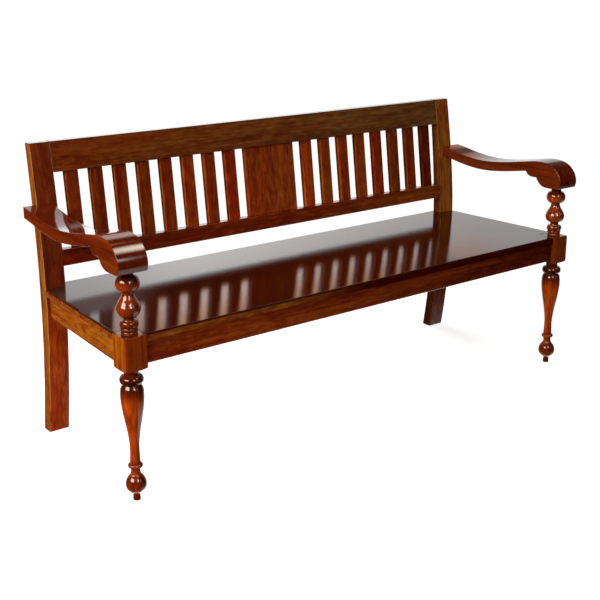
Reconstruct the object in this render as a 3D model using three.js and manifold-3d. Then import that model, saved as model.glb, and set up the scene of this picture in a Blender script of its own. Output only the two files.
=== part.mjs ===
// Deacons bench: a long mahogany settee with a slatted back round one wide centre board,
// scrolled arms on turned front legs, curved rear posts and a flat plank seat.
// Millimetres, +Z up, +X to the right seen from the front, +Y to the back.
import * as THREE from 'three';
import { mergeVertices } from 'three/addons/utils/BufferGeometryUtils.js';
import Module from 'manifold-3d';

// Overall sizes
const backHeight = 856;
const seatHeight = 450;
const legSpread = 1666;
const legFlare = 25;
const postSetback = 504;

// Clearances and small cuts shared by all pieces
const fit = 0.3;
const glueLine = 0.2;
const overrun = 5;
const ease = 2;
const mergeDistance = 0.0001;
const halvings = 40;

// Rear posts: straight at the seat, splayed below it and raked above it
const postWidth = 62;
const postDepth = 38;
const postTopDepth = 28;
const footSplay = 37;
const backRake = 46;
const straightDrop = 50;
const splayHandleShares = { footDepth: 0.4, footHeight: 0.325, kneeHeight: 0.675 };
const rakeHandleShares = { waistHeight: 0.27, topDepth: 0.52, topHeight: 0.68 };
const postCurveSteps = 8;

// Front legs below the block, from the floor up
const legSquare = 64;
const blockHeight = 89;
const footHeight = 80;
const footRadius = 27.2;
const footPadHeight = 17;
const footPadRadius = 10;
const footPadNeckRadius = 9.3;
const ankleHeight = 10;
const ankleRadius = 12.8;
const ankleRingHeight = 13;
const ankleRingRadius = 19.7;
const vaseRadius = 31;
const collarHeight = 24;
const collarRadius = 31;
const neckHeight = 18;
const neckRadius = 19.5;
const shoulderRadius = 33;
const shoulderHeight = 12;

// Front legs above the block, up to the arm
const armSupportHeight = 162;
const lowRingHeight = 9;
const lowRingRadius = 21.5;
const midRingHeight = 9.5;
const midRingRadius = 22;
const highRingHeight = 16.5;
const highRingRadius = 24;
const ringRelief = 4.5;
const waistHeight = 11;
const waistRadius = 13.4;
const bellRadius = 31.2;
const bellNeckHeight = 2.5;
const bellNeckRadius = 15.5;
const ballHeight = 39.5;
const ballRadius = 31;
const topNeckHeight = 12;
const topNeckRadius = 16.5;
const legTenonRadius = 12;
const legTenonLength = 24;

// Curved stretches of the turning, as shares of the stretch's height and of its radius
const footShares = [
  [0.23, 0.38], [0.28, 0.56], [0.36, 0.79], [0.45, 0.95],
  [0.57, 1], [0.71, 0.93], [0.82, 0.75], [0.91, 0.53], [1, 0.46],
];
const vaseShares = [
  [0, 0.45], [0.22, 0.41], [0.41, 0.56], [0.54, 0.72],
  [0.68, 0.885], [0.82, 0.985], [0.94, 0.95], [1, 0.74],
];
const bellShares = [[0, 0.54], [0.1, 0.85], [0.34, 1], [0.58, 0.83], [0.76, 0.61], [0.92, 0.475], [1, 0.5]];
const turningSides = 16;
const beadSteps = 5;

// Arms
const armWidth = 82;
const armOutset = 13;
const armOverhang = 11;
const armThickness = 32.5;
const armEase = 3;
const scrollLength = 145;
const scrollDepth = 83;
const armTenonWidth = 24;
const armTenonHeight = 16;
const armHousing = 7;
const armTenonLength = 8;
const armCurveSteps = 18;

// Arm outline: shares of the sweep's or the scroll's length, and of the scroll's depth
const sweepShares = [
  [1, 0.92], [0.88, 0.845], [0.75, 0.735], [0.59, 0.65],
  [0.44, 0.64], [0.285, 0.71], [0.145, 0.81], [0, 0.928],
];
const crestShares = [
  [0.725, 1], [0.507, 1], [0.335, 0.95], [0.19, 0.83],
  [0.07, 0.62], [0.01, 0.4], [0, 0.22], [0.028, 0.036],
];
const ovoloShares = [[0.943, 0.343], [0.803, 0.343]];
const lobeShares = [[0.69, 0.343], [0.634, 0.145], [0.535, 0], [0.387, 0]];
const lobeFlatShare = 0.1;

// Back rails, slats and centre board
const topRailHeight = 85.5;
const bottomRailLift = 56.5;
const bottomRailHeight = 47;
const railThickness = 28;
const railTenonLength = 30;
const railTenonThickness = 12;
const railTenonShoulder = 10;
const slatsEachSide = 8;
const slatWidth = 40;
const slatThickness = 19;
const slatSetback = 6;
const centreBoardWidth = 190;
const slatTenonLength = 15;
const slatTenonThickness = 9;
const slatTenonShoulder = 5;

// Seat, glued up from long boards
const seatThickness = 21;
const seatFrontSetback = 6;
const seatRearSetback = 3;
const seatSideInset = 2;
const seatEase = 3;
const seatBoardCount = 4;

// Aprons under the seat
const apronThickness = 22;
const frontApronHeight = 58;
const frontApronSetback = 10;
const sideApronHeight = 64;
const sideApronInset = 11;
const sideApronCorner = 15;
const cornerSteps = 4;
const rearApronHeight = 58;
const rearApronSetback = 8;
const apronTenonLength = 20;
const apronTenonThickness = 10;
const apronTenonShoulder = 9;

// Seat bearers and corner blocks
const bearerNames = ['left', 'centre', 'right'];
const bearerWidth = 34;
const bearerHeight = 44;
const bearerTenonLength = 8;
const bearerTenonShoulder = 7;
const bearerScrewShares = [0.3, 0.7];
const cornerBlockReach = 60;
const cornerBlockEnd = 12;
const cornerBlockHeight = 44;

// Screws and the plugs over the arm screws
const screwShankRadius = 2.2;
const screwHeadRadius = 4.4;
const screwHeadHeight = 3.2;
const screwPointHeight = 5;
const screwGrip = 18;
const screwBite = 13;
const armScrewBite = 26;
const pocketRadius = 5.5;
const plugDepth = 6;
const screwSides = 8;

// Places worked out from the sizes above
const legOuterX = legSpread / 2;
const legInnerX = legOuterX - legSquare;
const legAxis = { x: legOuterX - legSquare / 2, y: legSquare / 2 };
const postOuterX = legOuterX - legFlare;
const postInnerX = postOuterX - postWidth;
const blockUnderside = seatHeight - blockHeight;
const armUnderside = seatHeight + armSupportHeight;
const armCentreX = legOuterX + armOutset - armWidth / 2;
const armInnerX = armCentreX - armWidth / 2;
const seatUnderside = seatHeight - seatThickness;
const underSeat = seatUnderside - fit;
const seatRear = postSetback + postDepth - seatRearSetback;
const bottomRailLow = seatHeight + bottomRailLift;
const bottomRailHigh = bottomRailLow + bottomRailHeight;
const topRailLow = backHeight - topRailHeight;
const frontApronRear = frontApronSetback + apronThickness;
const rearApronFront = postSetback + rearApronSetback;

const wasm = await Module();
wasm.setup();

const bench = new THREE.Group();
const sides = [['left', -1], ['right', 1]];

// Mahogany in its own shade for each piece
function mahogany(shade) {
  const material = new THREE.MeshStandardMaterial({ color: 0x6b2a12, roughness: 0.28, metalness: 0 });
  material.color.multiplyScalar(shade);
  return material;
}

// Plain steel for the screws
function steel() {
  return new THREE.MeshStandardMaterial({ color: 0x8d8f92, roughness: 0.4, metalness: 1 });
}

// Closed solid from a three.js geometry, without the empty triangles at a lathe's poles
function solidOf(geometry) {
  const bare = geometry.clone();
  bare.deleteAttribute('normal');
  bare.deleteAttribute('uv');
  const merged = mergeVertices(bare, mergeDistance);
  const triangles = [];
  for (let at = 0; at < merged.index.count; at += 3) {
    const [a, b, c] = merged.index.array.slice(at, at + 3);
    if (a !== b && b !== c && c !== a) {
      triangles.push(a, b, c);
    }
  }
  return new wasm.Manifold(new wasm.Mesh({
    numProp: 3,
    vertProperties: new Float32Array(merged.attributes.position.array),
    triVerts: new Uint32Array(triangles),
  }));
}

function asSolid(shape) {
  return shape.isBufferGeometry ? solidOf(shape) : shape;
}

// First shape with all the others added to it
function joined(first, ...others) {
  return others.reduce((body, other) => body.add(asSolid(other)), asSolid(first));
}

// First shape with all the others cut out of it
function cut(first, ...others) {
  return others.reduce((body, other) => body.subtract(asSolid(other)), asSolid(first));
}

// Named mesh of a solid made in the bench's frame, with its pivot at the given place
function addPiece(name, solid, pivot, material) {
  const { vertProperties, triVerts } = solid.getMesh();
  const geometry = new THREE.BufferGeometry();
  geometry.setAttribute('position', new THREE.BufferAttribute(vertProperties, 3));
  geometry.setIndex(new THREE.BufferAttribute(triVerts, 1));
  geometry.translate(-pivot.x, -pivot.y, -pivot.z);
  geometry.computeVertexNormals();
  const mesh = new THREE.Mesh(geometry, material);
  mesh.name = name;
  mesh.position.copy(pivot);
  bench.add(mesh);
}

// Box between two opposite corners
function box(from, to) {
  const [width, depth, height] = from.map((value, axis) => Math.abs(to[axis] - value));
  const [x, y, z] = from.map((value, axis) => (value + to[axis]) / 2);
  return new THREE.BoxGeometry(width, depth, height).translate(x, y, z);
}

// Outline with every corner cut back along both of its edges
function easedCorners(corners, cutBack) {
  const points = corners.map(([x, y]) => new THREE.Vector2(x, y));
  return points.flatMap((point, index) => {
    const before = points[(index + points.length - 1) % points.length];
    const after = points[(index + 1) % points.length];
    return [before, after].map((other) => {
      const along = other.clone().sub(point).setLength(cutBack);
      return along.add(point);
    });
  });
}

// Outline drawn flat and extruded by a depth, with its rims eased
function easedExtrusion(points, depth, rim, rimSteps = 1) {
  return new THREE.ExtrudeGeometry(new THREE.Shape(points), {
    depth: depth - 2 * rim,
    bevelEnabled: rim > 0,
    bevelThickness: rim,
    bevelSize: rim,
    bevelOffset: -rim,
    bevelSegments: rimSteps,
  }).translate(0, 0, rim);
}

// Plan outline (X, Y) standing between two heights
function standing(points, low, high, rim, rimSteps) {
  return easedExtrusion(points, high - low, rim, rimSteps).translate(0, 0, low);
}

// Side outline (Y, Z) running across the bench between two X places
function across(points, left, right, rim) {
  const turn = new THREE.Matrix4().makeBasis(
    new THREE.Vector3(0, 1, 0),
    new THREE.Vector3(0, 0, 1),
    new THREE.Vector3(1, 0, 0),
  );
  return easedExtrusion(points, right - left, rim).applyMatrix4(turn).translate(left, 0, 0);
}

function vectors(pairs) {
  return pairs.map(([x, y]) => new THREE.Vector2(x, y));
}

// Points of a chain of curves, each point once
function chained(...curves) {
  return curves.flat().filter((point, index, all) => {
    const before = all[(index + all.length - 1) % all.length];
    return point.distanceTo(before) > mergeDistance;
  });
}

// Post face as two curves that meet at the straight stretch by the seat
function postFace(depth, splay, rake) {
  const knee = seatHeight - straightDrop;
  const rise = backHeight - seatHeight;
  const lower = new THREE.CubicBezierCurve(...vectors([
    [depth + splay, 0],
    [depth + splay * splayHandleShares.footDepth, knee * splayHandleShares.footHeight],
    [depth, knee * splayHandleShares.kneeHeight],
    [depth, knee],
  ]));
  const upper = new THREE.CubicBezierCurve(...vectors([
    [depth, seatHeight],
    [depth, seatHeight + rise * rakeHandleShares.waistHeight],
    [depth + rake * rakeHandleShares.topDepth, seatHeight + rise * rakeHandleShares.topHeight],
    [depth + rake, backHeight],
  ]));
  return { lower, upper };
}

const postFront = postFace(postSetback, footSplay, backRake);
const postRear = postFace(postSetback + postDepth, footSplay, backRake + postTopDepth - postDepth);

// Depth of a rising curve at a height, found by halving
function depthAt(curve, height) {
  let low = 0;
  let high = 1;
  for (let halving = 0; halving < halvings; halving += 1) {
    const middle = (low + high) / 2;
    const below = curve.getPoint(middle).y < height;
    low = below ? middle : low;
    high = below ? high : middle;
  }
  return curve.getPoint(low).x;
}

// Half width of the seat at a depth: it flares from the posts out to the legs
function seatHalfWidth(depth) {
  const share = (depth - legSquare) / (postSetback - legSquare);
  const atLegs = legOuterX - seatSideInset;
  return atLegs + (postOuterX - atLegs) * share;
}

function sideApronOuter(depth) {
  return seatHalfWidth(depth) - sideApronInset;
}

function sideApronInner(depth) {
  return sideApronOuter(depth) - apronThickness;
}

// Screw on the +Z axis with its point at the origin; clearance turns it into its hole
function screwShape(length, clearance) {
  const shank = screwShankRadius + clearance;
  const head = screwHeadRadius + clearance;
  const profile = vectors([
    [0, -clearance],
    [shank, screwPointHeight - clearance],
    [shank, length - screwHeadHeight],
    [head, length],
    [0, length],
  ]);
  return new THREE.LatheGeometry(profile, screwSides).rotateX(Math.PI / 2);
}

// Pocket over a screw's head, through which it is driven
function screwPocket(length, pocketLength) {
  return new THREE.CylinderGeometry(pocketRadius, pocketRadius, pocketLength, screwSides)
    .rotateX(Math.PI / 2)
    .translate(0, 0, length + pocketLength / 2 - fit);
}

const screws = [];

// A screw with its point at a place and its head in a direction, and the hole that takes it
function planScrew(name, point, towards, length, pocketLength) {
  const turn = new THREE.Quaternion().setFromUnitVectors(new THREE.Vector3(0, 0, 1), towards);
  const place = new THREE.Matrix4().compose(point, turn, new THREE.Vector3(1, 1, 1));
  const hole = joined(
    screwShape(length, fit).applyMatrix4(place),
    screwPocket(length, pocketLength).applyMatrix4(place),
  );
  screws.push({ name, point, turn, length, hole });
}

const screwLength = screwBite + screwGrip + screwHeadHeight;
const cornerScrewHeight = underSeat - cornerBlockHeight / 2;

for (const [sideName, side] of sides) {
  const inFrontApron = frontApronRear - screwBite;
  const frontX = legInnerX - cornerBlockReach / 2;
  const frontY = legSquare + cornerBlockReach / 2;
  const inRearApron = rearApronFront + screwBite;
  const rearX = postInnerX - cornerBlockReach / 2;
  const rearY = postSetback - cornerBlockReach / 2;
  const inward = new THREE.Vector3(-side, 0, 0);
  const plans = [
    [`front_${sideName}_corner_screw_apron`, side * frontX, inFrontApron, new THREE.Vector3(0, 1, 0)],
    [`front_${sideName}_corner_screw_side`, side * (sideApronInner(frontY) + screwBite), frontY, inward],
    [`rear_${sideName}_corner_screw_apron`, side * rearX, inRearApron, new THREE.Vector3(0, -1, 0)],
    [`rear_${sideName}_corner_screw_side`, side * (sideApronInner(rearY) + screwBite), rearY, inward],
  ];
  for (const [name, x, y, towards] of plans) {
    planScrew(name, new THREE.Vector3(x, y, cornerScrewHeight), towards, screwLength, cornerBlockReach);
  }
}

// Bearers, evenly spaced between the posts
const bearerLow = underSeat - bearerHeight;
const bearers = bearerNames.map((name, index) => ({
  name,
  x: postInnerX * (2 * (index + 1) / (bearerNames.length + 1) - 1),
}));

for (const { name, x } of bearers) {
  bearerScrewShares.forEach((share, index) => {
    const y = frontApronRear + (rearApronFront - frontApronRear) * share;
    const point = new THREE.Vector3(x, y, underSeat + screwBite);
    const place = index === 0 ? 'front' : 'rear';
    planScrew(`seat_screw_${name}_${place}`, point, new THREE.Vector3(0, 0, -1), screwLength, bearerHeight);
  });
}

// Rear end of the arms, housed in the posts' front faces
const armRearHigh = armUnderside + scrollDepth * sweepShares[0][1];
const armRearMiddle = armRearHigh - armThickness / 2;
const armJoint = {
  x: (armInnerX + postOuterX) / 2,
  y: depthAt(postFront.upper, armRearMiddle) + armHousing,
  z: armRearMiddle,
};

// Arm screws, driven from behind the post through its wall into the arm's end
const armScrewHead = depthAt(postRear.upper, armJoint.z) - plugDepth;
const armScrewPoint = armJoint.y + armTenonLength - armScrewBite;

for (const [sideName, side] of sides) {
  const point = new THREE.Vector3(side * armJoint.x, armScrewPoint, armJoint.z);
  const length = armScrewHead - armScrewPoint;
  planScrew(`${sideName}_arm_screw`, point, new THREE.Vector3(0, 1, 0), length, plugDepth + overrun);
}

// All screw holes as one solid, which every wooden piece is drilled with
const drilling = joined(...screws.map(({ hole }) => hole));

// Profile of the turned leg, as radius and height from the floor to the tenon's end
function turnedProfile() {
  const profile = [];
  let height = 0;
  const step = (radius, rise) => {
    height += rise;
    profile.push(new THREE.Vector2(radius, height));
  };
  const cylinder = (radius, rise) => {
    step(radius, 0);
    step(radius, rise);
  };
  const bead = (neck, radius, rise) => {
    const arc = new THREE.EllipseCurve(
      neck, height + rise / 2, radius - neck, rise / 2, -Math.PI / 2, Math.PI / 2,
    );
    profile.push(...arc.getPoints(beadSteps));
    height += rise;
  };
  const swell = (shares, radius, rise) => {
    const points = shares.map(([up, out]) => new THREE.Vector2(radius * out, height + rise * up));
    profile.push(...new THREE.SplineCurve(points).getPoints(2 * points.length - 2));
    height += rise;
  };
  const ringNeck = (radius) => radius - ringRelief;
  const vaseHeight = blockUnderside - footHeight - ankleHeight - ankleRingHeight - collarHeight - neckHeight;
  const bellHeight = armSupportHeight - lowRingHeight - midRingHeight - highRingHeight - waistHeight
    - bellNeckHeight - ballHeight - topNeckHeight;

  profile.push(...vectors([[0, 0], [footPadRadius, 0], [footPadNeckRadius, footPadHeight]]));
  swell(footShares, footRadius, footHeight);
  step(ankleRadius, ankleHeight);
  bead(ankleRadius, ankleRingRadius, ankleRingHeight);
  swell(vaseShares, vaseRadius, vaseHeight);
  bead(neckRadius, collarRadius, collarHeight);
  step(neckRadius, neckHeight + blockHeight);
  bead(ringNeck(lowRingRadius), lowRingRadius, lowRingHeight);
  bead(ringNeck(midRingRadius), midRingRadius, midRingHeight);
  bead(ringNeck(highRingRadius), highRingRadius, highRingHeight);
  cylinder(waistRadius, waistHeight);
  swell(bellShares, bellRadius, bellHeight);
  step(bellNeckRadius, bellNeckHeight);
  bead(bellNeckRadius, ballRadius, ballHeight);
  cylinder(topNeckRadius, topNeckHeight - fit);
  cylinder(legTenonRadius, fit + legTenonLength);
  step(0, 0);
  return chained(profile);
}

// Profile turned about a leg's axis
function turned(profile, side) {
  return new THREE.LatheGeometry(profile, turningSides)
    .rotateX(Math.PI / 2)
    .translate(side * legAxis.x, legAxis.y, 0);
}

// Square block of the leg, its lower corners rounded over by the turning
function legBlock(side) {
  const half = legSquare / 2;
  const square = easedCorners([[-half, -half], [half, -half], [half, half], [-half, half]], ease);
  const clearOfCorners = legSquare;
  const shoulderTop = blockUnderside + shoulderHeight;
  const shoulder = new THREE.EllipseCurve(
    shoulderRadius, shoulderTop, clearOfCorners - shoulderRadius, shoulderHeight, -Math.PI / 2, 0,
  );
  const blank = turned([
    new THREE.Vector2(0, blockUnderside),
    ...shoulder.getPoints(beadSteps),
    new THREE.Vector2(clearOfCorners, seatHeight + overrun),
    new THREE.Vector2(0, seatHeight + overrun),
  ], side);
  const block = standing(square, blockUnderside, seatHeight, ease).translate(side * legAxis.x, legAxis.y, 0);
  return solidOf(block).intersect(solidOf(blank));
}

// Tenons are drawn once; with clearance the same shapes cut the mortises
function apronTenon(side, shoulderX, front, apronHeight, clearance) {
  const y = front + (apronThickness - apronTenonThickness) / 2;
  const low = underSeat - apronHeight + apronTenonShoulder;
  const high = underSeat - apronTenonShoulder;
  const end = shoulderX + apronTenonLength + clearance;
  return box(
    [side * (shoulderX - overrun), y - clearance, low - clearance],
    [side * end, y + apronTenonThickness + clearance, high + clearance],
  );
}

function frontApronTenon(side, clearance) {
  return apronTenon(side, legInnerX, frontApronSetback, frontApronHeight, clearance);
}

function rearApronTenon(side, clearance) {
  return apronTenon(side, postInnerX, rearApronFront, rearApronHeight, clearance);
}

function sideApronTenon(side, from, to, clearance) {
  const inset = (apronThickness - apronTenonThickness) / 2;
  const plan = vectors([
    [side * (sideApronOuter(from) - inset + clearance), from],
    [side * (sideApronOuter(to) - inset + clearance), to],
    [side * (sideApronInner(to) + inset - clearance), to],
    [side * (sideApronInner(from) + inset - clearance), from],
  ]);
  const low = underSeat - sideApronHeight + apronTenonShoulder - clearance;
  return standing(plan, low, underSeat - apronTenonShoulder + clearance, 0);
}

function sideApronFrontTenon(side, clearance) {
  return sideApronTenon(side, legSquare - apronTenonLength - clearance, legSquare + overrun, clearance);
}

function sideApronRearTenon(side, clearance) {
  return sideApronTenon(side, postSetback - overrun, postSetback + apronTenonLength + clearance, clearance);
}

// Side outline of a rail: its front follows the posts' front curve
function railOutline(low, high, inset, thickness) {
  const lowDepth = depthAt(postFront.upper, low) + inset;
  const highDepth = depthAt(postFront.upper, high) + inset;
  return [[lowDepth, low], [lowDepth + thickness, low], [highDepth + thickness, high], [highDepth, high]];
}

function railTenon(low, high, side, clearance) {
  const inset = (railThickness - railTenonThickness) / 2;
  const outline = vectors(railOutline(
    low + railTenonShoulder - clearance,
    high - railTenonShoulder + clearance,
    inset - clearance,
    railTenonThickness + 2 * clearance,
  ));
  const root = postInnerX - overrun;
  const end = postInnerX + railTenonLength + clearance;
  return side > 0 ? across(outline, root, end, 0) : across(outline, -end, -root, 0);
}

function armTenon(side, clearance) {
  const halfWidth = armTenonWidth / 2 + clearance;
  const halfHeight = armTenonHeight / 2 + clearance;
  return box(
    [side * armJoint.x - halfWidth, armJoint.y - overrun, armJoint.z - halfHeight],
    [side * armJoint.x + halfWidth, armJoint.y + armTenonLength + clearance, armJoint.z + halfHeight],
  );
}

// Housing across the post's front face that takes the arm's whole end
function armHousingCut(side) {
  const slope = (sweepShares[0][1] - sweepShares[1][1]) / (sweepShares[0][0] - sweepShares[1][0]);
  const fall = slope * scrollDepth / (armJoint.y + armOverhang - scrollLength);
  const reach = armHousing + overrun;
  const rear = armJoint.y;
  const high = armRearHigh + fit;
  const low = armRearHigh - armThickness - fit;
  const outline = vectors([
    [rear, high],
    [rear - reach, high - fall * reach],
    [rear - reach, low - fall * reach],
    [rear, low],
  ]);
  const near = armInnerX - fit;
  const far = postOuterX + overrun;
  return side > 0 ? across(outline, near, far, 0) : across(outline, -far, -near, 0);
}

function legTenonHole(side) {
  const radius = legTenonRadius + fit;
  const depth = legTenonLength + fit;
  return new THREE.CylinderGeometry(radius, radius, depth + overrun, turningSides)
    .rotateX(Math.PI / 2)
    .translate(side * legAxis.x, legAxis.y, armUnderside + (depth - overrun) / 2);
}

// Front legs: turning and block in one, mortised for two aprons
for (const [sideName, side] of sides) {
  const blank = joined(turned(turnedProfile(), side), legBlock(side));
  const leg = cut(blank, frontApronTenon(side, fit), sideApronFrontTenon(side, fit));
  const pivot = new THREE.Vector3(side * legAxis.x, legAxis.y, 0);
  addPiece(`front_leg_${sideName}`, leg, pivot, mahogany(1.02));
}

// Rear posts, sawn to their curve and mortised for rails, aprons and arm
function postBlank(side) {
  const outline = chained(
    postFront.lower.getPoints(postCurveSteps),
    postFront.upper.getPoints(postCurveSteps),
    postRear.upper.getPoints(postCurveSteps).reverse(),
    postRear.lower.getPoints(postCurveSteps).reverse(),
  );
  return side > 0
    ? across(outline, postInnerX, postOuterX, ease)
    : across(outline, -postOuterX, -postInnerX, ease);
}

for (const [sideName, side] of sides) {
  const post = cut(
    postBlank(side),
    railTenon(bottomRailLow, bottomRailHigh, side, fit),
    railTenon(topRailLow, backHeight, side, fit),
    sideApronRearTenon(side, fit),
    rearApronTenon(side, fit),
    armHousingCut(side),
    armTenon(side, fit),
    drilling,
  );
  const pivot = new THREE.Vector3(side * (postOuterX - postWidth / 2), postSetback, 0);
  addPiece(`rear_post_${sideName}`, post, pivot, mahogany(0.96));
}

// Side outline of an arm, from its rear end along the top, round the scroll and back
function armOutline() {
  const scrollRear = scrollLength - armOverhang;
  const onScroll = ([along, up]) => [along * scrollLength - armOverhang, armUnderside + up * scrollDepth];
  const onSweep = (drop) => ([along, up]) => {
    const rear = armJoint.y - fit;
    return [scrollRear + (rear - scrollRear) * along, armUnderside + up * scrollDepth - drop];
  };
  const top = new THREE.SplineCurve(vectors([...sweepShares.map(onSweep(0)), ...crestShares.map(onScroll)]));
  const underside = new THREE.SplineCurve(vectors(sweepShares.map(onSweep(armThickness)).reverse()));
  const ovoloEnd = underside.getPoint(0);
  const ovolo = new THREE.QuadraticBezierCurve(...vectors(ovoloShares.map(onScroll)).reverse(), ovoloEnd);
  const lobe = new THREE.CubicBezierCurve(...vectors(lobeShares.map(onScroll)).reverse());
  return chained(
    top.getPoints(2 * armCurveSteps),
    vectors([onScroll([lobeFlatShare, 0])]),
    lobe.getPoints(armCurveSteps / 3),
    ovolo.getPoints(armCurveSteps / 3),
    underside.getPoints(armCurveSteps),
  );
}

for (const [sideName, side] of sides) {
  const centre = side * armCentreX;
  const blank = across(armOutline(), centre - armWidth / 2, centre + armWidth / 2, armEase);
  const arm = cut(joined(blank, armTenon(side, 0)), legTenonHole(side), drilling);
  addPiece(`arm_${sideName}`, arm, new THREE.Vector3(centre, legAxis.y, armUnderside), mahogany(1.05));
}

// Slats and centre board share one lean, from rail to rail
function slatDepth(height) {
  const low = depthAt(postFront.upper, bottomRailHigh) + slatSetback;
  const high = depthAt(postFront.upper, topRailLow) + slatSetback;
  return low + (high - low) * (height - bottomRailHigh) / (topRailLow - bottomRailHigh);
}

function leaning(width, low, high, inset, thickness, rim) {
  const outline = vectors([
    [slatDepth(low) + inset, low],
    [slatDepth(low) + inset + thickness, low],
    [slatDepth(high) + inset + thickness, high],
    [slatDepth(high) + inset, high],
  ]);
  return across(outline, -width / 2, width / 2, rim);
}

function slatTenons(width, clearance) {
  const inset = (slatThickness - slatTenonThickness) / 2 - clearance;
  const tenonWidth = width - 2 * slatTenonShoulder + 2 * clearance;
  const thickness = slatTenonThickness + 2 * clearance;
  const bottomEnd = bottomRailHigh - slatTenonLength - clearance;
  const topEnd = topRailLow + slatTenonLength + clearance;
  return [
    leaning(tenonWidth, bottomEnd, bottomRailHigh + overrun, inset, thickness, 0),
    leaning(tenonWidth, topRailLow - overrun, topEnd, inset, thickness, 0),
  ];
}

const slatRun = 2 * postInnerX - centreBoardWidth - 2 * slatsEachSide * slatWidth;
const slatGap = slatRun / (2 * slatsEachSide + 2);
const uprights = [{ name: 'back_centre_board', x: 0, width: centreBoardWidth, shade: 1 }];
for (const [sideName, side] of sides) {
  for (let index = 0; index < slatsEachSide; index += 1) {
    const x = centreBoardWidth / 2 + slatGap + slatWidth / 2 + index * (slatWidth + slatGap);
    const shade = 0.94 + 0.04 * (index % 4);
    uprights.push({ name: `slat_${sideName}_${index + 1}`, x: side * x, width: slatWidth, shade });
  }
}

for (const { name, x, width, shade } of uprights) {
  const board = leaning(width, bottomRailHigh + fit, topRailLow - fit, 0, slatThickness, ease);
  const tenons = slatTenons(width, 0);
  const slat = joined(...[board, ...tenons].map((shape) => shape.translate(x, 0, 0)));
  const pivot = new THREE.Vector3(x, slatDepth(bottomRailHigh), bottomRailHigh);
  addPiece(name, slat, pivot, mahogany(shade));
}

// Back rails, mortised for every slat and for the centre board
const slatMortises = joined(...uprights.flatMap(({ x, width }) => (
  slatTenons(width, fit).map((tenon) => tenon.translate(x, 0, 0))
)));

function addRail(name, low, high, shade) {
  const outline = easedCorners(railOutline(low, high, 0, railThickness), ease);
  const end = postInnerX - fit;
  const blank = across(outline, -end, end, ease);
  const rail = cut(joined(blank, railTenon(low, high, -1, 0), railTenon(low, high, 1, 0)), slatMortises);
  addPiece(name, rail, new THREE.Vector3(0, depthAt(postFront.upper, low), low), mahogany(shade));
}

addRail('back_bottom_rail', bottomRailLow, bottomRailHigh, 0.98);
addRail('back_top_rail', topRailLow, backHeight, 1);

// Seat plan with notches round the leg blocks and the posts
function seatOutline() {
  const half = [
    [legInnerX - fit, seatFrontSetback],
    [legInnerX - fit, legSquare + fit],
    [seatHalfWidth(legSquare), legSquare + fit],
    [seatHalfWidth(postSetback), postSetback - fit],
    [postInnerX - fit, postSetback - fit],
    [postInnerX - fit, seatRear],
  ];
  const mirrored = half.map(([x, y]) => [-x, y]).reverse();
  return vectors([...half, ...mirrored]);
}

const seatBlank = solidOf(standing(seatOutline(), seatUnderside, seatHeight, seatEase, 2));
const seatBoardDepth = (seatRear - seatFrontSetback) / seatBoardCount;
for (let index = 0; index < seatBoardCount; index += 1) {
  const front = seatFrontSetback + index * seatBoardDepth;
  const frontCut = index === 0 ? front - overrun : front + glueLine / 2;
  const rearCut = index === seatBoardCount - 1 ? seatRear + overrun : front + seatBoardDepth - glueLine / 2;
  const strip = box(
    [-legOuterX, frontCut, seatUnderside - overrun],
    [legOuterX, rearCut, seatHeight + overrun],
  );
  const board = cut(seatBlank.intersect(solidOf(strip)), drilling);
  const pivot = new THREE.Vector3(0, front, seatUnderside);
  addPiece(`seat_board_${index + 1}`, board, pivot, mahogany(0.97 + 0.02 * index));
}

// Bearers under the seat, stub-tenoned into the front and rear aprons
function bearerTenon(x, clearance) {
  const halfWidth = bearerWidth / 2 - bearerTenonShoulder + clearance;
  const reach = bearerTenonLength + clearance;
  const low = bearerLow + bearerTenonShoulder - clearance;
  const high = underSeat - bearerTenonShoulder + clearance;
  return box([x - halfWidth, frontApronRear - reach, low], [x + halfWidth, rearApronFront + reach, high]);
}

for (const { name, x } of bearers) {
  const body = box(
    [x - bearerWidth / 2, frontApronRear + fit, bearerLow],
    [x + bearerWidth / 2, rearApronFront - fit, underSeat],
  );
  const bearer = cut(joined(body, bearerTenon(x, 0)), drilling);
  addPiece(`seat_bearer_${name}`, bearer, new THREE.Vector3(x, frontApronRear, bearerLow), mahogany(0.85));
}

const bearerMortises = bearers.map(({ x }) => bearerTenon(x, fit));

// Front and rear aprons, tenoned between the legs and between the posts
function apronBlank(halfLength, front, height) {
  const rear = front + apronThickness;
  const plan = [[-halfLength, front], [halfLength, front], [halfLength, rear], [-halfLength, rear]];
  return standing(easedCorners(plan, ease), underSeat - height, underSeat, ease);
}

function addApron(name, blank, tenons, pivot, shade) {
  const apron = cut(joined(blank, ...tenons), ...bearerMortises, drilling);
  addPiece(name, apron, pivot, mahogany(shade));
}

addApron(
  'front_apron',
  apronBlank(legInnerX - fit, frontApronSetback, frontApronHeight),
  sides.map(([, side]) => frontApronTenon(side, 0)),
  new THREE.Vector3(0, frontApronSetback, underSeat),
  1,
);
addApron(
  'rear_apron',
  apronBlank(postInnerX - fit, rearApronFront, rearApronHeight),
  sides.map(([, side]) => rearApronTenon(side, 0)),
  new THREE.Vector3(0, rearApronFront, underSeat),
  0.9,
);

// Wedge that rounds off the lower rear corner of a side apron
function sideApronCornerCut(side) {
  const rear = postSetback - fit;
  const low = underSeat - sideApronHeight;
  const arc = new THREE.EllipseCurve(
    rear - sideApronCorner, low + sideApronCorner, sideApronCorner, sideApronCorner, 0, -Math.PI / 2, true,
  );
  const outline = [
    ...arc.getPoints(cornerSteps),
    ...vectors([[rear - sideApronCorner, low - overrun], [rear + overrun, low - overrun]]),
    ...vectors([[rear + overrun, low + sideApronCorner]]),
  ];
  const near = sideApronInner(rear) - overrun;
  const far = legOuterX;
  return side > 0 ? across(outline, near, far, 0) : across(outline, -far, -near, 0);
}

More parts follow.
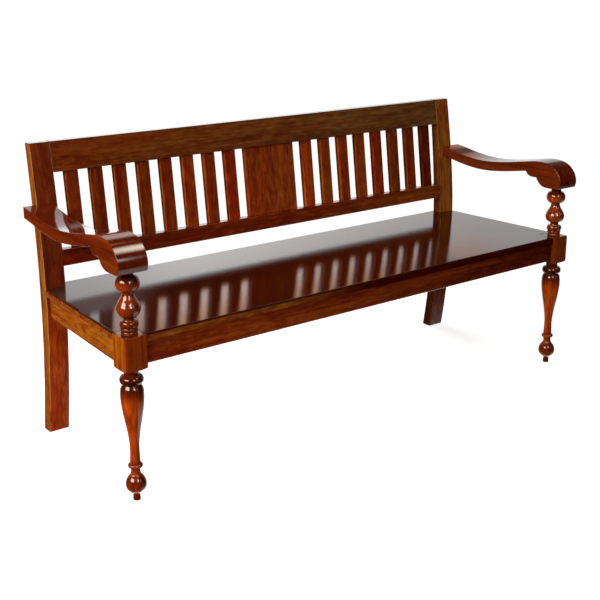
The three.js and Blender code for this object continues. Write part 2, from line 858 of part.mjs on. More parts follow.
// Side aprons, which follow the flare of the seat
for (const [sideName, side] of sides) {
  const front = legSquare + fit;
  const rear = postSetback - fit;
  const plan = easedCorners([
    [side * sideApronOuter(front), front],
    [side * sideApronOuter(rear), rear],
    [side * sideApronInner(rear), rear],
    [side * sideApronInner(front), front],
  ], ease);
  const blank = standing(plan, underSeat - sideApronHeight, underSeat, ease);
  const rounded = cut(blank, sideApronCornerCut(side));
  const apron = cut(joined(rounded, sideApronFrontTenon(side, 0), sideApronRearTenon(side, 0)), drilling);
  const pivot = new THREE.Vector3(side * sideApronOuter(front), front, underSeat);
  addPiece(`side_apron_${sideName}`, apron, pivot, mahogany(1.04));
}

// Corner blocks, fitted round the inner corner of each leg and post
function frontCornerPlan(side) {
  const reachX = legInnerX - cornerBlockReach;
  const reachY = legSquare + cornerBlockReach;
  return [
    [side * (legInnerX - fit), frontApronRear + fit],
    [side * (legInnerX - fit), legSquare + fit],
    [side * (sideApronInner(legSquare) - fit), legSquare + fit],
    [side * (sideApronInner(reachY) - fit), reachY],
    [side * (sideApronInner(reachY) - fit - cornerBlockEnd), reachY],
    [side * reachX, frontApronRear + fit + cornerBlockEnd],
    [side * reachX, frontApronRear + fit],
  ];
}

function rearCornerPlan(side) {
  const reachX = postInnerX - cornerBlockReach;
  const reachY = postSetback - cornerBlockReach;
  return [
    [side * (postInnerX - fit), rearApronFront - fit],
    [side * (postInnerX - fit), postSetback - fit],
    [side * (sideApronInner(postSetback) - fit), postSetback - fit],
    [side * (sideApronInner(reachY) - fit), reachY],
    [side * (sideApronInner(reachY) - fit - cornerBlockEnd), reachY],
    [side * reachX, rearApronFront - fit - cornerBlockEnd],
    [side * reachX, rearApronFront - fit],
  ];
}

for (const [sideName, side] of sides) {
  const plans = [['front', frontCornerPlan(side)], ['rear', rearCornerPlan(side)]];
  for (const [endName, plan] of plans) {
    const blank = standing(vectors(plan), underSeat - cornerBlockHeight, underSeat, 0);
    const [x, y] = plan[0];
    addPiece(
      `corner_block_${endName}_${sideName}`,
      cut(blank, drilling),
      new THREE.Vector3(x, y, underSeat),
      mahogany(0.8),
    );
  }
}

// Screws
for (const { name, point, turn, length } of screws) {
  const screw = new THREE.Mesh(screwShape(length, 0), steel());
  screw.name = name;
  screw.position.copy(point);
  screw.quaternion.copy(turn);
  bench.add(screw);
}

// Wooden plugs over the arm screws, trimmed flush with the back of the post
for (const [sideName, side] of sides) {
  const radius = pocketRadius - fit;
  const front = armScrewHead + fit;
  const rear = front + plugDepth + overrun;
  const peg = new THREE.CylinderGeometry(radius, radius, rear - front, screwSides)
    .translate(side * armJoint.x, (front + rear) / 2, armJoint.z);
  const plug = solidOf(peg).intersect(solidOf(postBlank(side)));
  const pivot = new THREE.Vector3(side * armJoint.x, front, armJoint.z);
  addPiece(`${sideName}_arm_screw_plug`, plug, pivot, mahogany(1.1));
}

// The bench stands over the middle of its own floor plan
const bounds = new THREE.Box3().setFromObject(bench);
bench.position.y = -(bounds.min.y + bounds.max.y) / 2;

const deaconsBench = new THREE.Group();
deaconsBench.add(bench);

export default deaconsBench;
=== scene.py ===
import math
import random

import bmesh
import bpy
from mathutils import Matrix, Vector


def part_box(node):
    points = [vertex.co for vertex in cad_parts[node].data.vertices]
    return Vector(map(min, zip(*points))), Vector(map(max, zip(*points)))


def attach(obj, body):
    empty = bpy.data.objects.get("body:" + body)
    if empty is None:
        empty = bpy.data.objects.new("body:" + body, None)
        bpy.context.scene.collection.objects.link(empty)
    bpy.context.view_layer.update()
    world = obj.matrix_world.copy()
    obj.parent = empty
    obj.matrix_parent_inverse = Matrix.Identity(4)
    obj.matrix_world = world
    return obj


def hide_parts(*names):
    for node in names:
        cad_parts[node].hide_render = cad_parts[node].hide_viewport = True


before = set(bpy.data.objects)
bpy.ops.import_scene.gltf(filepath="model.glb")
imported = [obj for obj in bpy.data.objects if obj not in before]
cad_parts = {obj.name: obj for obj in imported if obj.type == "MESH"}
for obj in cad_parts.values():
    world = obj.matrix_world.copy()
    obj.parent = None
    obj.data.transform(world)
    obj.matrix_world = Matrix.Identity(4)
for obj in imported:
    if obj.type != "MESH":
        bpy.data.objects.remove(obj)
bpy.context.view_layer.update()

# Lengths are in millimetres in the bench's plan and become metres in the meshes.
# The plan has Y = 0 at the front faces of the leg blocks and Z = 0 on the floor.
MM = 0.001
SIDES = (("left", -1), ("right", 1))
PLAN_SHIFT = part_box("front_leg_left")[0].y / MM

# Clearance between touching pieces, and points nearer than this are one point
FIT = 0.3
SAME_POINT = 0.01

# Main sizes of the frame
BACK_HEIGHT = 856
SEAT_HEIGHT = 450
LEG_OUTER = 833
LEG_SQUARE = 64
LEG_AXIS = (LEG_OUTER - LEG_SQUARE / 2, LEG_SQUARE / 2)
BLOCK_HEIGHT = 89
BLOCK_LOW = SEAT_HEIGHT - BLOCK_HEIGHT

# Rear posts: straight at the seat, splayed below it and raked above it
POST_OUTER = 808
POST_WIDTH = 62
POST_INNER = POST_OUTER - POST_WIDTH
POST_SETBACK = 504
POST_DEPTH = 38
POST_TOP_DEPTH = 28
FOOT_SPLAY = 37
BACK_RAKE = 46
STRAIGHT_DROP = 50
SPLAY_HANDLE_SHARE = 0.4
SPLAY_HEIGHT_SHARES = (0.325, 0.675)
RAKE_HANDLE_SHARE = 0.52
RAKE_HEIGHT_SHARES = (0.27, 0.68)
POST_CURVE_STEPS = 24

# Pieces of the back
TOP_RAIL_HEIGHT = 85.5
TOP_RAIL_LOW = BACK_HEIGHT - TOP_RAIL_HEIGHT
BOTTOM_RAIL_LIFT = 56.5
BOTTOM_RAIL_HEIGHT = 47
BOTTOM_RAIL_LOW = SEAT_HEIGHT + BOTTOM_RAIL_LIFT
BOTTOM_RAIL_HIGH = BOTTOM_RAIL_LOW + BOTTOM_RAIL_HEIGHT
RAIL_THICKNESS = 28
SLAT_SETBACK = 6
SLAT_WIDTH = 40
SLAT_THICKNESS = 19
SLATS_EACH_SIDE = 8
CENTRE_BOARD_WIDTH = 190

# Seat and aprons
SEAT_THICKNESS = 21
SEAT_UNDERSIDE = SEAT_HEIGHT - SEAT_THICKNESS
SEAT_FRONT = 6
SEAT_REAR_SETBACK = 3
SEAT_REAR = POST_SETBACK + POST_DEPTH - SEAT_REAR_SETBACK
SEAT_SIDE_INSET = 2
SEAT_BOARDS = 4
GLUE_LINE = 0.2
BLOCK_SEAM = 0.8
UNDER_SEAT = SEAT_UNDERSIDE - FIT
APRON_THICKNESS = 22
APRON_HEIGHT = 58
FRONT_APRON_FRONT = 10
REAR_APRON_SETBACK = 8
SIDE_APRON_HEIGHT = 64
SIDE_APRON_INSET = 11
SIDE_APRON_CORNER = 15
SIDE_APRON_CORNER_STEPS = 8

# Arms: a long sweep that rises to the post, and a scroll in front
ARM_SUPPORT_HEIGHT = 162
ARM_UNDERSIDE = SEAT_HEIGHT + ARM_SUPPORT_HEIGHT
ARM_OUTSET = 13
ARM_OUTER = LEG_OUTER + ARM_OUTSET
ARM_WIDTH = 82
ARM_THICKNESS = 32.5
ARM_OVERHANG = 11
ARM_REAR = 529
SCROLL_LENGTH = 145
SCROLL_DEPTH = 83

# Arm outline, as shares of the sweep's or the scroll's length and of the scroll's depth
SWEEP_SHARES = (
    (1, 0.92),
    (0.88, 0.845),
    (0.75, 0.735),
    (0.59, 0.65),
    (0.44, 0.64),
    (0.285, 0.71),
    (0.145, 0.81),
    (0, 0.928),
)
CREST_SHARES = (
    (0.725, 1),
    (0.507, 1),
    (0.335, 0.95),
    (0.19, 0.83),
    (0.07, 0.62),
    (0.01, 0.4),
    (0, 0.22),
    (0.028, 0.036),
)
OVOLO_SHARES = ((0.943, 0.343), (0.803, 0.343))
LOBE_SHARES = ((0.69, 0.343), (0.634, 0.145), (0.535, 0), (0.387, 0))
LOBE_FLAT_SHARES = (0.1, 0)
ARM_TOP_STEPS = 7
ARM_UNDERSIDE_STEPS = 5
OVOLO_STEPS = 10
LOBE_STEPS = 12

# Turning below the block, from the floor up
PAD_POINTS = ((0, 9.2), (0.8, 10), (3, 10), (17, 9.3))
FOOT_HEIGHT = 80
FOOT_RADIUS = 27.2
ANKLE_HEIGHT = 10
ANKLE_RADIUS = 12.8
ANKLE_RING_HEIGHT = 13
ANKLE_RING_RADIUS = 19.7
VASE_RADIUS = 31
COLLAR_HEIGHT = 24
COLLAR_RADIUS = 31
COLLAR_NECK_RADIUS = 21
NECK_HEIGHT = 18
NECK_POINTS = ((1.5, 19.2), (8, 18.7), (14, 19.5), (18, 22.5))

# Turning above the block, up to the arm; each ring has its neck radius, radius, height and steps
BLOCK_TOP_POINTS = ((0, 19.5),)
STACKED_RINGS = ((19, 21.5, 9, 8), (19, 22, 9.5, 8), (19.5, 24, 16.5, 10))
WAIST_HEIGHT = 11
WAIST_POINTS = ((1, 15), (4, 13.4), (9, 13.4), (11, 15))
BELL_RADIUS = 31.2
BELL_HEIGHT = 62
BELL_NECK_HEIGHT = 2.5
BELL_NECK_RADIUS = 15.5
BALL_HEIGHT = 39.5
BALL_RADIUS = 31
TOP_NECK_POINTS = ((0.5, 16.5), (6, 16), (11.7, 16.5))

# Curved stretches of the turning, as shares of the stretch's height and of its radius
FOOT_SHARES = (
    (0.23, 0.38),
    (0.28, 0.56),
    (0.36, 0.79),
    (0.45, 0.95),
    (0.57, 1),
    (0.71, 0.93),
    (0.82, 0.75),
    (0.91, 0.53),
    (1, 0.46),
)
VASE_SHARES = (
    (0, 0.45),
    (0.22, 0.41),
    (0.41, 0.56),
    (0.54, 0.72),
    (0.68, 0.885),
    (0.82, 0.985),
    (0.94, 0.95),
    (1, 0.74),
)
BELL_SHARES = ((0, 0.54), (0.1, 0.85), (0.34, 1), (0.58, 0.83), (0.76, 0.61), (0.92, 0.475), (1, 0.5))
ANKLE_RING_STEPS = 8
COLLAR_STEPS = 12
BALL_STEPS = 18
SWELL_STEPS = 5

# Block of the front legs: a square with rounded corners that narrows to a circle at its low end
SQUARE_ANGLES = 9
CORNER_ANGLES = 4
CORNER_RADIUS = 2.4
SHOULDER_RADIUS = 33
SHOULDER_SPREAD = 31
SHOULDER_HEIGHT = 34
SHOULDER_RISE = 5.2
SHOULDER_STEPS = 12
SHOULDER_TOP = 12

# Rounding of the arrises
ARRIS = 2.2
SEAT_ROUNDING = 6
SEAT_ARRIS = 2.5
ARM_ARRIS = 3.5
ARRIS_STEPS = 3
ROUND_PROFILE = 0.5
CREASE_ANGLE = math.radians(38)
EDGE_ANGLE = math.radians(28)

# Wood colours
DARK_WOOD = (0.13, 0.016, 0.002, 1)
RED_WOOD = (0.33, 0.046, 0.004, 1)
BROWN_WOOD = (0.33, 0.070, 0.006, 1)
LIGHT_WOOD = (0.48, 0.135, 0.012, 1)
OLIVE_WOOD = (0.20, 0.062, 0.006, 1)
PORE_WOOD = (0.06, 0.010, 0.001, 1)

# Noises of the wood: scale along and across the grain, detail, roughness and distortion
WOOD_NOISES = {
    "clouds": ((0.9, 7, 7), 2, 0.5, 0.4),
    "ribbons": ((1.6, 30, 30), 3, 0.55, 0.6),
    "streaks": ((4.5, 150, 150), 3, 0.6, 0.3),
    "patches": ((9, 60, 60), 2, 0.6, 0.6),
    "mottle": ((25, 110, 110), 3, 0.6, 0.0),
    "fibres": ((14, 900, 900), 3, 0.6, 0.0),
    "pores": ((60, 2600, 2600), 1, 0.5, 0.0),
    "grit": ((650, 650, 650), 2, 0.5, 0.0),
}
CLOUD_RANGE = (0.4, 0.6)
RIBBON_SHARE = 0.55
STREAK_SHARE = 0.45

# Colours laid over the ground in turn: noise, where the layer starts and is full, its depth
WOOD_LAYERS = (
    ("figure", 0.5, 0.36, 0.75, DARK_WOOD),
    ("figure", 0.5, 0.62, 0.6, LIGHT_WOOD),
    ("patches", 0.52, 0.66, 0.6, OLIVE_WOOD),
    ("patches", 0.48, 0.34, 0.6, DARK_WOOD),
    ("mottle", 0.5, 0.3, 0.6, DARK_WOOD),
    ("mottle", 0.52, 0.7, 0.45, LIGHT_WOOD),
    ("fibres", 0.65, 0.35, 0.25, DARK_WOOD),
)
FIGURED_NOISES = ("patches", "mottle")
PORE_RANGE = (0.66, 0.74)
PORE_DEPTH = 0.8

# Surface of the wood and of its lacquer; the ripple is the relief in the lacquer, in metres
WOOD_ROUGHNESS = {"From Min": 0.3, "From Max": 0.7, "To Min": 0.26, "To Max": 0.4}
FIBRE_RELIEF = 0.5
GRAIN_BUMP = {"Strength": 0.25, "Distance": 0.0002}
LACQUER_IOR = 1.5
PLAIN_LACQUER = {"blur": 0.09, "ripple": 0.000004}
SEAT_LACQUER = {"blur": 0.07, "ripple": 0.00006}
TURNED_LACQUER = {"blur": 0.1, "ripple": 0.000004}
TURNED_FIGURING = 0.5

# Turns that lay the grain along an axis of a CAD node
HIDDEN_GRAIN_TURNS = {"y": (0, 0, math.pi / 2), "z": (0, math.pi / 2, 0)}

# Each piece is cut from its own place in the wood, in metres
GRAIN_SPREAD = 3.0
SEED = 12

# Screw steel
STEEL_DARK = (0.42, 0.43, 0.44, 1)
STEEL_LIGHT = (0.6, 0.61, 0.62, 1)
STEEL_MARKS = {"Scale": 900.0, "Detail": 3.0}
STEEL_ROUGHNESS = {"To Min": 0.28, "To Max": 0.48}

# Parts of a vertex normal: beyond one, or between a pair, the vertex faces that way
SIDE_FACING = 0.7
TOP_FACING = 0.3
ARRIS_FACING = (0.3, 0.75)
WORN_REAR_FACING = 0.2
WORN_TOP_FACING = 0.25
ROUNDING_FACING = 0.2

# Worn stretch of the block's upper arrises, as shares of an arris below the block's top
WORN_BLOCK_SHARES = (0.1, 1.1)

# Colour factors on each piece, as shares of the wood's red, green and blue; some give the wood's own
# tone and others paint light and shade onto it, as their names say
SIDE_APRON_STAIN = (1.08, 1.3, 1.0)
# Painted light on the front apron: lighter at its left end and darker at its right end, as the light
# falls off along the bench
APRON_LEFT_PAINTED_LIGHT = (0.96, 0.78, 1.1)
APRON_RIGHT_PAINTED_SHADE = (0.25, 0.13, 0.6)
# Posts: partly their own tone and partly painted light; the left post is painted lighter low down,
# where the lit floor throws light on it, and the sides get their own painted light by face
POST_SIDE_TINT_AND_PAINTED_LIGHT = {"left": (0.95, 1.3, 1.2), "right": (0.5, 0.7, 1.4)}
POST_HIGH_TINT_AND_PAINTED_LIGHT = {"left": (0.58, 0.4, 1.0), "right": (1.0, 1.42, 1.9)}
POST_LOW_TINT_AND_PAINTED_LIGHT = {"left": (1.3, 0.88, 0.6), "right": (1.0, 0.8, 0.8)}
# Painted highlight on the posts' outer front arris, painted glint on the front arris at the top rail
# joint, and painted shade on the upper front arrises of the posts and the top rail
OUTER_ARRIS_PAINTED_HIGHLIGHT = (1.1, 3.2, 18)
JOINT_ARRIS_PAINTED_GLINT = (2.0, 9.0, 80)
TOP_ARRIS_PAINTED_SHADE = (0.12, 0.12, 0.3)
# Painted light and shade by face on the leg blocks; the right block's left face is painted dark, as it
# lies in shade
BLOCK_SIDE_PAINTED_LIGHT = {"left": (1.02, 1.15, 0.7), "right": (0.5, 0.45, 0.5)}
BLOCK_FRONT_PAINTED_LIGHT = {"left": (0.96, 0.75, 0.8), "right": (0.72, 0.62, 1.0)}
# The rails change in colour from the left end to the right
TOP_RAIL_LEFT_TINT = (0.7, 0.66, 1.0)
TOP_RAIL_RIGHT_TINT = (0.52, 1.15, 3.2)
BOTTOM_RAIL_LEFT_TINT = (0.56, 0.26, 0.5)
BOTTOM_RAIL_RIGHT_TINT = (0.72, 0.75, 1.2)
CENTRE_BOARD_STAIN = (1.02, 0.9, 1.4)
ARM_STAIN = (0.45, 0.27, 0.27)
ARM_SIDE_STAINS = {"left": (0.54, 0.4, 0.55), "right": (0.4, 0.3, 0.5)}
# The seat: painted shade on the top, much darker than the edges, as little light falls on it from
# above; the sides keep the wood's tone; along the front edge a painted reflection at the left changes
# to painted shade
SEAT_TOP_PAINTED_SHADE = (0.16, 0.1, 0.1)
SEAT_SIDE_STAIN = (0.8, 1.0, 1.0)
SEAT_FRONT_LEFT_PAINTED_REFLECTION = (0.95, 1.35, 2.2)
SEAT_FRONT_PAINTED_SHADE = (0.16, 0.06, 0.05)

# Where the painted light changes: by height on the posts, and along the seat's front
POST_PAINTED_LIGHT_FADE = (300, 480)
SEAT_FRONT_PAINTED_LIGHT_FADE = (-400, -60)

# Slats: the tone varies by chance; painted light falls off to the sides, and the left and right faces
# get painted light at the front and painted shadow at the rear, where the next slat shades them
SLAT_STAIN_RANGE = (0.68, 1.02)
SLAT_GREEN_RANGE = (0.45, 0.95)
SLAT_PAINTED_LIGHT_FALLOFF = {"left": (1.05, 0.95), "right": (1.5, 0.55)}
SLAT_SIDE_PAINTED_LIGHT = {"left": (1.5, 2.2, 3.0), "right": (1.1, 1.4, 2.0)}
SLAT_REAR_PAINTED_SHADOW = (0.15, 0.15, 0.15)

# The turnings' own tone, and painted light and shade by height: crevices and the stretches under wide
# rings are painted darker, where shade falls
TURNING_STAIN = (1.2, 0.78, 0.5)
TURNING_PAINTED_LIGHT_AND_SHADE = (
    (0, 0.25), (17, 0.3), (24, 0.65), (33, 0.7), (43, 0.45), (62, 0.35), (70, 0.6),
    (78, 0.95), (89, 0.5), (97, 0.7), (104, 0.5), (112, 1.0), (190, 1.25), (225, 0.95),
    (270, 1.15), (290, 0.6), (300, 0.3), (318, 0.2), (331, 0.15), (343, 0.3), (352, 0.35),
    (361, 0.5), (450, 0.3), (454, 0.7), (459, 0.3), (464, 0.5), (468, 0.3), (477, 0.5),
    (486, 0.4), (495, 0.2), (502, 0.75), (515, 0.62), (530, 0.55), (540, 0.75), (552, 0.4),
    (560, 0.5), (572, 0.95), (582, 0.6), (592, 0.2), (612, 0.3),
)

# Camera at the photograph's place
CAMERA_PLACE = (-1956.2, -2146.7, 1316.1)
CAMERA_YAW = math.radians(-36.686)
CAMERA_PITCH = math.radians(-15.198)
CAMERA_ROLL = math.radians(-0.348)
CAMERA_SENSOR = 36
CAMERA_LENS = 62.89
CAMERA_SHIFT = (0.03095, -0.07865)
CAMERA_REACH = 100

# Lamps, aimed at the middle of the bench; lengths are in metres and powers in watts
LAMP_AIM = Vector((0, 0, 0.45))
WINDOW = {
    "direction": (-0.87, -0.17, 0.46),
    "distance": 7.0,
    "size": (4.6, 2.6),
    "power": 620,
    "colour": (1.0, 0.93, 0.8),
}
FRONT_PLACE = {"direction": (-0.16, -0.86, 0.48), "distance": 5.6}
FRONT_LIGHT = {**FRONT_PLACE, "size": (1.5, 1.5), "power": 42, "colour": (1.0, 0.85, 0.8)}
FRONT_GLINT = {**FRONT_PLACE, "size": (1.2, 1.5), "power": 900, "colour": (1.0, 0.85, 0.82)}
REAR_LIGHT = {
    "direction": (0.2, 0.95, 0.3),
    "distance": 5.0,
    "size": (2.5, 2.5),
    "power": 140,
    "colour": (1.0, 0.97, 0.93),
}

# What the lacquer mirrors, by the direction's parts: right, back and up. Each fade says where
# a change starts and ends, and its strength at the start and at the end.
WALL_FADES = {
    "back": ((-0.05, 0.12, 0.0, 2.0),),
    "up": ((0.52, 0.7, 1.0, 0.0),),
    "right": ((0.45, 0.78, 1.05, 0.47), (0.44, 0.52, 0.9, 1.0), (-0.3, 0.1, 0.0, 1.0)),
}
DIM_CORNERS = (
    {"right": ((0.62, 0.7, 0.0, 1.0),), "up": ((0.32, 0.38, 0.0, 0.85),)},
    {"right": ((0.4, 0.5, 1.0, 0.0),), "up": ((0.22, 0.28, 0.0, 0.3),)},
)
NEAR_FLOOR_FADES = {"up": ((-0.42, -0.65, 0.0, 1.3),), "right": ((0.38, 0.42, 0.0, 1.0),)}
ROOM_STRENGTH = 0.04

# Ceiling strips that the left arm's scroll mirrors: angle above the rear horizon, half width,
# and the strengths at the two ends of the scroll's width
CEILING_STRIPS = ((1.3, 0.15, 2.0, 0.0), (1.88, 0.32, 11.0, 16.0), (2.66, 0.16, 9.0, 0.0))
SCROLL_MIRRORS = (0.44, 0.454)
STRIPS_FADES = {"right": ((0.5, 0.55, 1.0, 0.0), (0.36, 0.41, 0.0, 1.0))}

# Colours of the mirrored studio: the wall, its warm low part, and what is above it
WALL_COLOUR = (0.96, 1, 1, 1)
WARM_COLOUR = (1, 0.41, 0.19, 1)
CEILING_COLOUR = (1, 0.9, 0.74, 1)
WHITE = (1, 1, 1, 1)
CEILING_FADES = {"up": ((0.7, 0.85, 0.0, 1.0),)}
WARM_FADES = {
    "up": ((0.24, 0.29, 0.0, 1.0), (0.36, 0.4, 1.0, 0.0)),
    "slope": ((0.37, 0.39, 0.0, 1.0),),
    "right": ((0.38, 0.47, 0.0, 1.0), (0.7, 0.745, 1.0, 0.0)),
}

# Floor: half sizes in metres; the pale platform fades out over shares of its size
FLOOR_REACH = 30.0
PLATFORM = (1.6, 1.3)
PLATFORM_SHARES = (0.7, 1.3)
PLATFORM_WHITE = 0.8
OUTER_FLOOR_WHITE = 0.03

rng = random.Random(SEED)


def catmull_rom(points, steps):
    """Smooth curve through the points, each stretch cut into steps."""
    curve = []
    last = len(points) - 1
    for index in range(last):
        a = Vector(points[max(index - 1, 0)])
        b = Vector(points[index])
        c = Vector(points[index + 1])
        d = Vector(points[min(index + 2, last)])
        start, end = (c - a) / 2, (d - b) / 2
        for step in range(steps):
            t = step / steps
            curve.append(
                (2 * b - 2 * c + start + end) * t**3
                + (3 * c - 3 * b - 2 * start - end) * t**2
                + start * t
                + b
            )
    curve.append(Vector(points[-1]))
    return curve


def bezier(handles, steps):
    """Bezier curve of any degree."""
    curve = []
    for step in range(steps + 1):
        level = [Vector(handle) for handle in handles]
        while len(level) > 1:
            level = [a.lerp(b, step / steps) for a, b in zip(level, level[1:])]
        curve.append(level[0])
    return curve


def depth_at(curve, height):
    """Depth of a rising curve at a height."""
    for a, b in zip(curve, curve[1:]):
        if a.y <= height <= b.y:
            return a.x + (b.x - a.x) * (height - a.y) / (b.y - a.y)
    return curve[-1].x


def without_doubles(points):
    """Closed outline with each point once."""
    kept = []
    for point in points:
        if not kept or (point - kept[-1]).length > SAME_POINT:
            kept.append(point)
    if (kept[0] - kept[-1]).length <= SAME_POINT:
        kept.pop()
    return kept


def share_between(value, low, high):
    """How far a value is from low to high, kept from 0 to 1."""
    return min(max((value - low) / (high - low), 0), 1)


def always(value):
    """Function that gives the same value everywhere."""
    return lambda place: value


def in_metres(x, y, z):
    """Place in the part's frame of a point of the plan."""
    return Vector((x, y + PLAN_SHIFT, z)) * MM


def prism(outline, start, end, along_x=True):
    """Solid of an outline: (Y, Z) run along X, or (X, Y) run along Z."""
    bm = bmesh.new()
    rings = []
    for reach in (start, end):
        if along_x:
            corners = [in_metres(reach, y, z) for y, z in outline]
        else:
            corners = [in_metres(x, y, reach) for x, y in outline]
        rings.append([bm.verts.new(corner) for corner in corners])
    near, far = rings
    bm.faces.new(near)
    bm.faces.new(far)
    for index in range(len(outline)):
        after = (index + 1) % len(outline)
        bm.faces.new((near[index], near[after], far[after], far[index]))
    bmesh.ops.recalc_face_normals(bm, faces=bm.faces)
    return bm


def rounded(bm, radius, choose=always(True)):
    """Round every outer edge, or those chosen, to a radius."""
    edges = [
        edge
        for edge in bm.edges
        if edge.is_manifold
        and edge.calc_face_angle() > EDGE_ANGLE
        and edge.is_convex
        and choose(edge)
    ]
    bmesh.ops.bevel(
        bm,
        geom=edges,
        offset=radius * MM,
        offset_type="OFFSET",
        segments=ARRIS_STEPS,
        profile=ROUND_PROFILE,
        affect="EDGES",
        clamp_overlap=True,
    )
    return bm


class Graph:
    """Shader nodes of one material or world."""

    def __init__(self, tree):
        self.tree = tree

    def feed(self, socket, value):
        """Link another node's output into a socket, or set the socket to a constant."""
        if isinstance(value, bpy.types.NodeSocket):
            self.tree.links.new(value, socket)
        else:
            socket.default_value = value

    def node(self, kind, inputs, **settings):
        """New node with its settings and its inputs by name or number."""
        made = self.tree.nodes.new(kind)
        for key, value in settings.items():
            setattr(made, key, value)
        for key, value in inputs.items():
            self.feed(made.inputs[key], value)
        return made

    def place(self, kind):
        """Texture coordinates of a kind."""
        return self.node("ShaderNodeTexCoord", {}).outputs[kind]

    def attribute(self, name, output):
        """Values that the mesh carries."""
        return self.node("ShaderNodeAttribute", {}, attribute_name=name).outputs[output]

    def noise(self, source, stretch, detail, roughness, distortion):
        """Noise in a stretched space."""
        space = self.node("ShaderNodeMapping", {"Vector": source, "Scale": stretch})
        texture = self.node(
            "ShaderNodeTexNoise",
            {
                "Vector": space.outputs["Vector"],
                "Scale": 1.0,
                "Detail": detail,
                "Roughness": roughness,
                "Distortion": distortion,
            },
        )
        return texture.outputs["Fac"]

    def sum(self, operation, first, second=0.0):
        """One step of arithmetic."""
        return self.node("ShaderNodeMath", {0: first, 1: second}, operation=operation).outputs[0]

    def product(self, first, *others):
        """All the values multiplied."""
        for other in others:
            first = self.sum("MULTIPLY", first, other)
        return first

    def ranged(self, value, limits, interpolation="LINEAR"):
        """Value carried from one range to another and kept inside it."""
        inputs = {"Value": value, **limits}
        span = self.node("ShaderNodeMapRange", inputs, interpolation_type=interpolation)
        return span.outputs["Result"]

    def layer(self, value, start, full, depth):
        """Mask that grows evenly from nothing to a depth."""
        return self.ranged(value, {"From Min": start, "From Max": full, "To Min": 0.0, "To Max": depth})

    def fade(self, value, start, end, to_start, to_end):
        """Smooth change between two values."""
        limits = {"From Min": start, "From Max": end, "To Min": to_start, "To Max": to_end}
        return self.ranged(value, limits, "SMOOTHSTEP")

    def mix_colours(self, factor, first, second, blend="MIX"):
        """First colour mixed with the second by a factor."""
        inputs = {0: factor, 6: first, 7: second}
        return self.node("ShaderNodeMix", inputs, data_type="RGBA", blend_type=blend).outputs[2]

    def choose(self, factor, first, second):
        """First number where the factor is 0, second where it is 1."""
        inputs = {0: factor, 2: first, 3: second}
        return self.node("ShaderNodeMix", inputs, data_type="FLOAT").outputs[0]


def new_material(name):
    """Material with its graph and its shader's inputs."""
    material = bpy.data.materials.new(name)
    material.use_nodes = True
    tree = material.node_tree
    return material, Graph(tree), tree.nodes["Principled BSDF"].inputs


def wood(name, blur, ripple, figuring=1.0, axis=None):
    """Mahogany; the grain comes from the mesh, or runs along an axis of a CAD node."""
    material, graph, surface = new_material(name)
    if axis is None:
        source = graph.attribute("grain", "Vector")
    else:
        inputs = {"Vector": graph.place("Object"), "Rotation": HIDDEN_GRAIN_TURNS[axis]}
        source = graph.node("ShaderNodeMapping", inputs).outputs["Vector"]
    noises = {key: graph.noise(source, *values) for key, values in WOOD_NOISES.items()}
    noises["figure"] = graph.sum(
        "ADD",
        graph.sum("MULTIPLY", noises["ribbons"], RIBBON_SHARE),
        graph.sum("MULTIPLY", noises["streaks"], STREAK_SHARE),
    )

    colour = graph.mix_colours(graph.layer(noises["clouds"], *CLOUD_RANGE, 1.0), RED_WOOD, BROWN_WOOD)
    for key, start, full, depth, layer_colour in WOOD_LAYERS:
        if key in FIGURED_NOISES:
            depth *= figuring
        colour = graph.mix_colours(graph.layer(noises[key], start, full, depth), colour, layer_colour)
    pore_mask = graph.layer(noises["pores"], *PORE_RANGE, PORE_DEPTH)
    colour = graph.mix_colours(pore_mask, colour, PORE_WOOD)
    # The mesh's tint multiplies the wood's colour; on many pieces it also carries painted light, shade
    # and highlights
    if axis is None:
        colour = graph.mix_colours(1.0, colour, graph.attribute("tint_and_painted_light", "Color"), "MULTIPLY")
    graph.feed(surface["Base Color"], colour)

    relief = graph.sum("SUBTRACT", graph.sum("MULTIPLY", noises["fibres"], FIBRE_RELIEF), pore_mask)
    grain_bump = graph.node("ShaderNodeBump", {"Height": relief, **GRAIN_BUMP})
    lacquer = {"Height": noises["grit"], "Strength": 1.0, "Distance": ripple}
    lacquer_bump = graph.node("ShaderNodeBump", lacquer)
    graph.feed(surface["Roughness"], graph.ranged(noises["streaks"], WOOD_ROUGHNESS))
    graph.feed(surface["Normal"], grain_bump.outputs["Normal"])
    graph.feed(surface["Specular IOR Level"], 0.0)
    graph.feed(surface["Coat Weight"], 1.0 if axis else graph.attribute("gloss", "Fac"))
    graph.feed(surface["Coat Roughness"], blur)
    graph.feed(surface["Coat IOR"], LACQUER_IOR)
    graph.feed(surface["Coat Normal"], lacquer_bump.outputs["Normal"])
    return material


def steel():
    """Zinc-plated screw steel with fine turning marks."""
    material, graph, surface = new_material("screw_steel")
    inputs = {"Vector": graph.place("Object"), **STEEL_MARKS}
    marks = graph.node("ShaderNodeTexNoise", inputs).outputs["Fac"]
    graph.feed(surface["Base Color"], graph.mix_colours(marks, STEEL_DARK, STEEL_LIGHT))
    graph.feed(surface["Roughness"], graph.ranged(marks, STEEL_ROUGHNESS))
    graph.feed(surface["Metallic"], 1.0)
    return material


mahogany = wood("mahogany", **PLAIN_LACQUER)
seat_mahogany = wood("mahogany_seat", **SEAT_LACQUER)
turned_mahogany = wood("mahogany_turned", **TURNED_LACQUER, figuring=TURNED_FIGURING)
hidden_wood = {
    axis: wood("mahogany_" + axis, **PLAIN_LACQUER, axis=axis) for axis in HIDDEN_GRAIN_TURNS
}
screw_steel = steel()


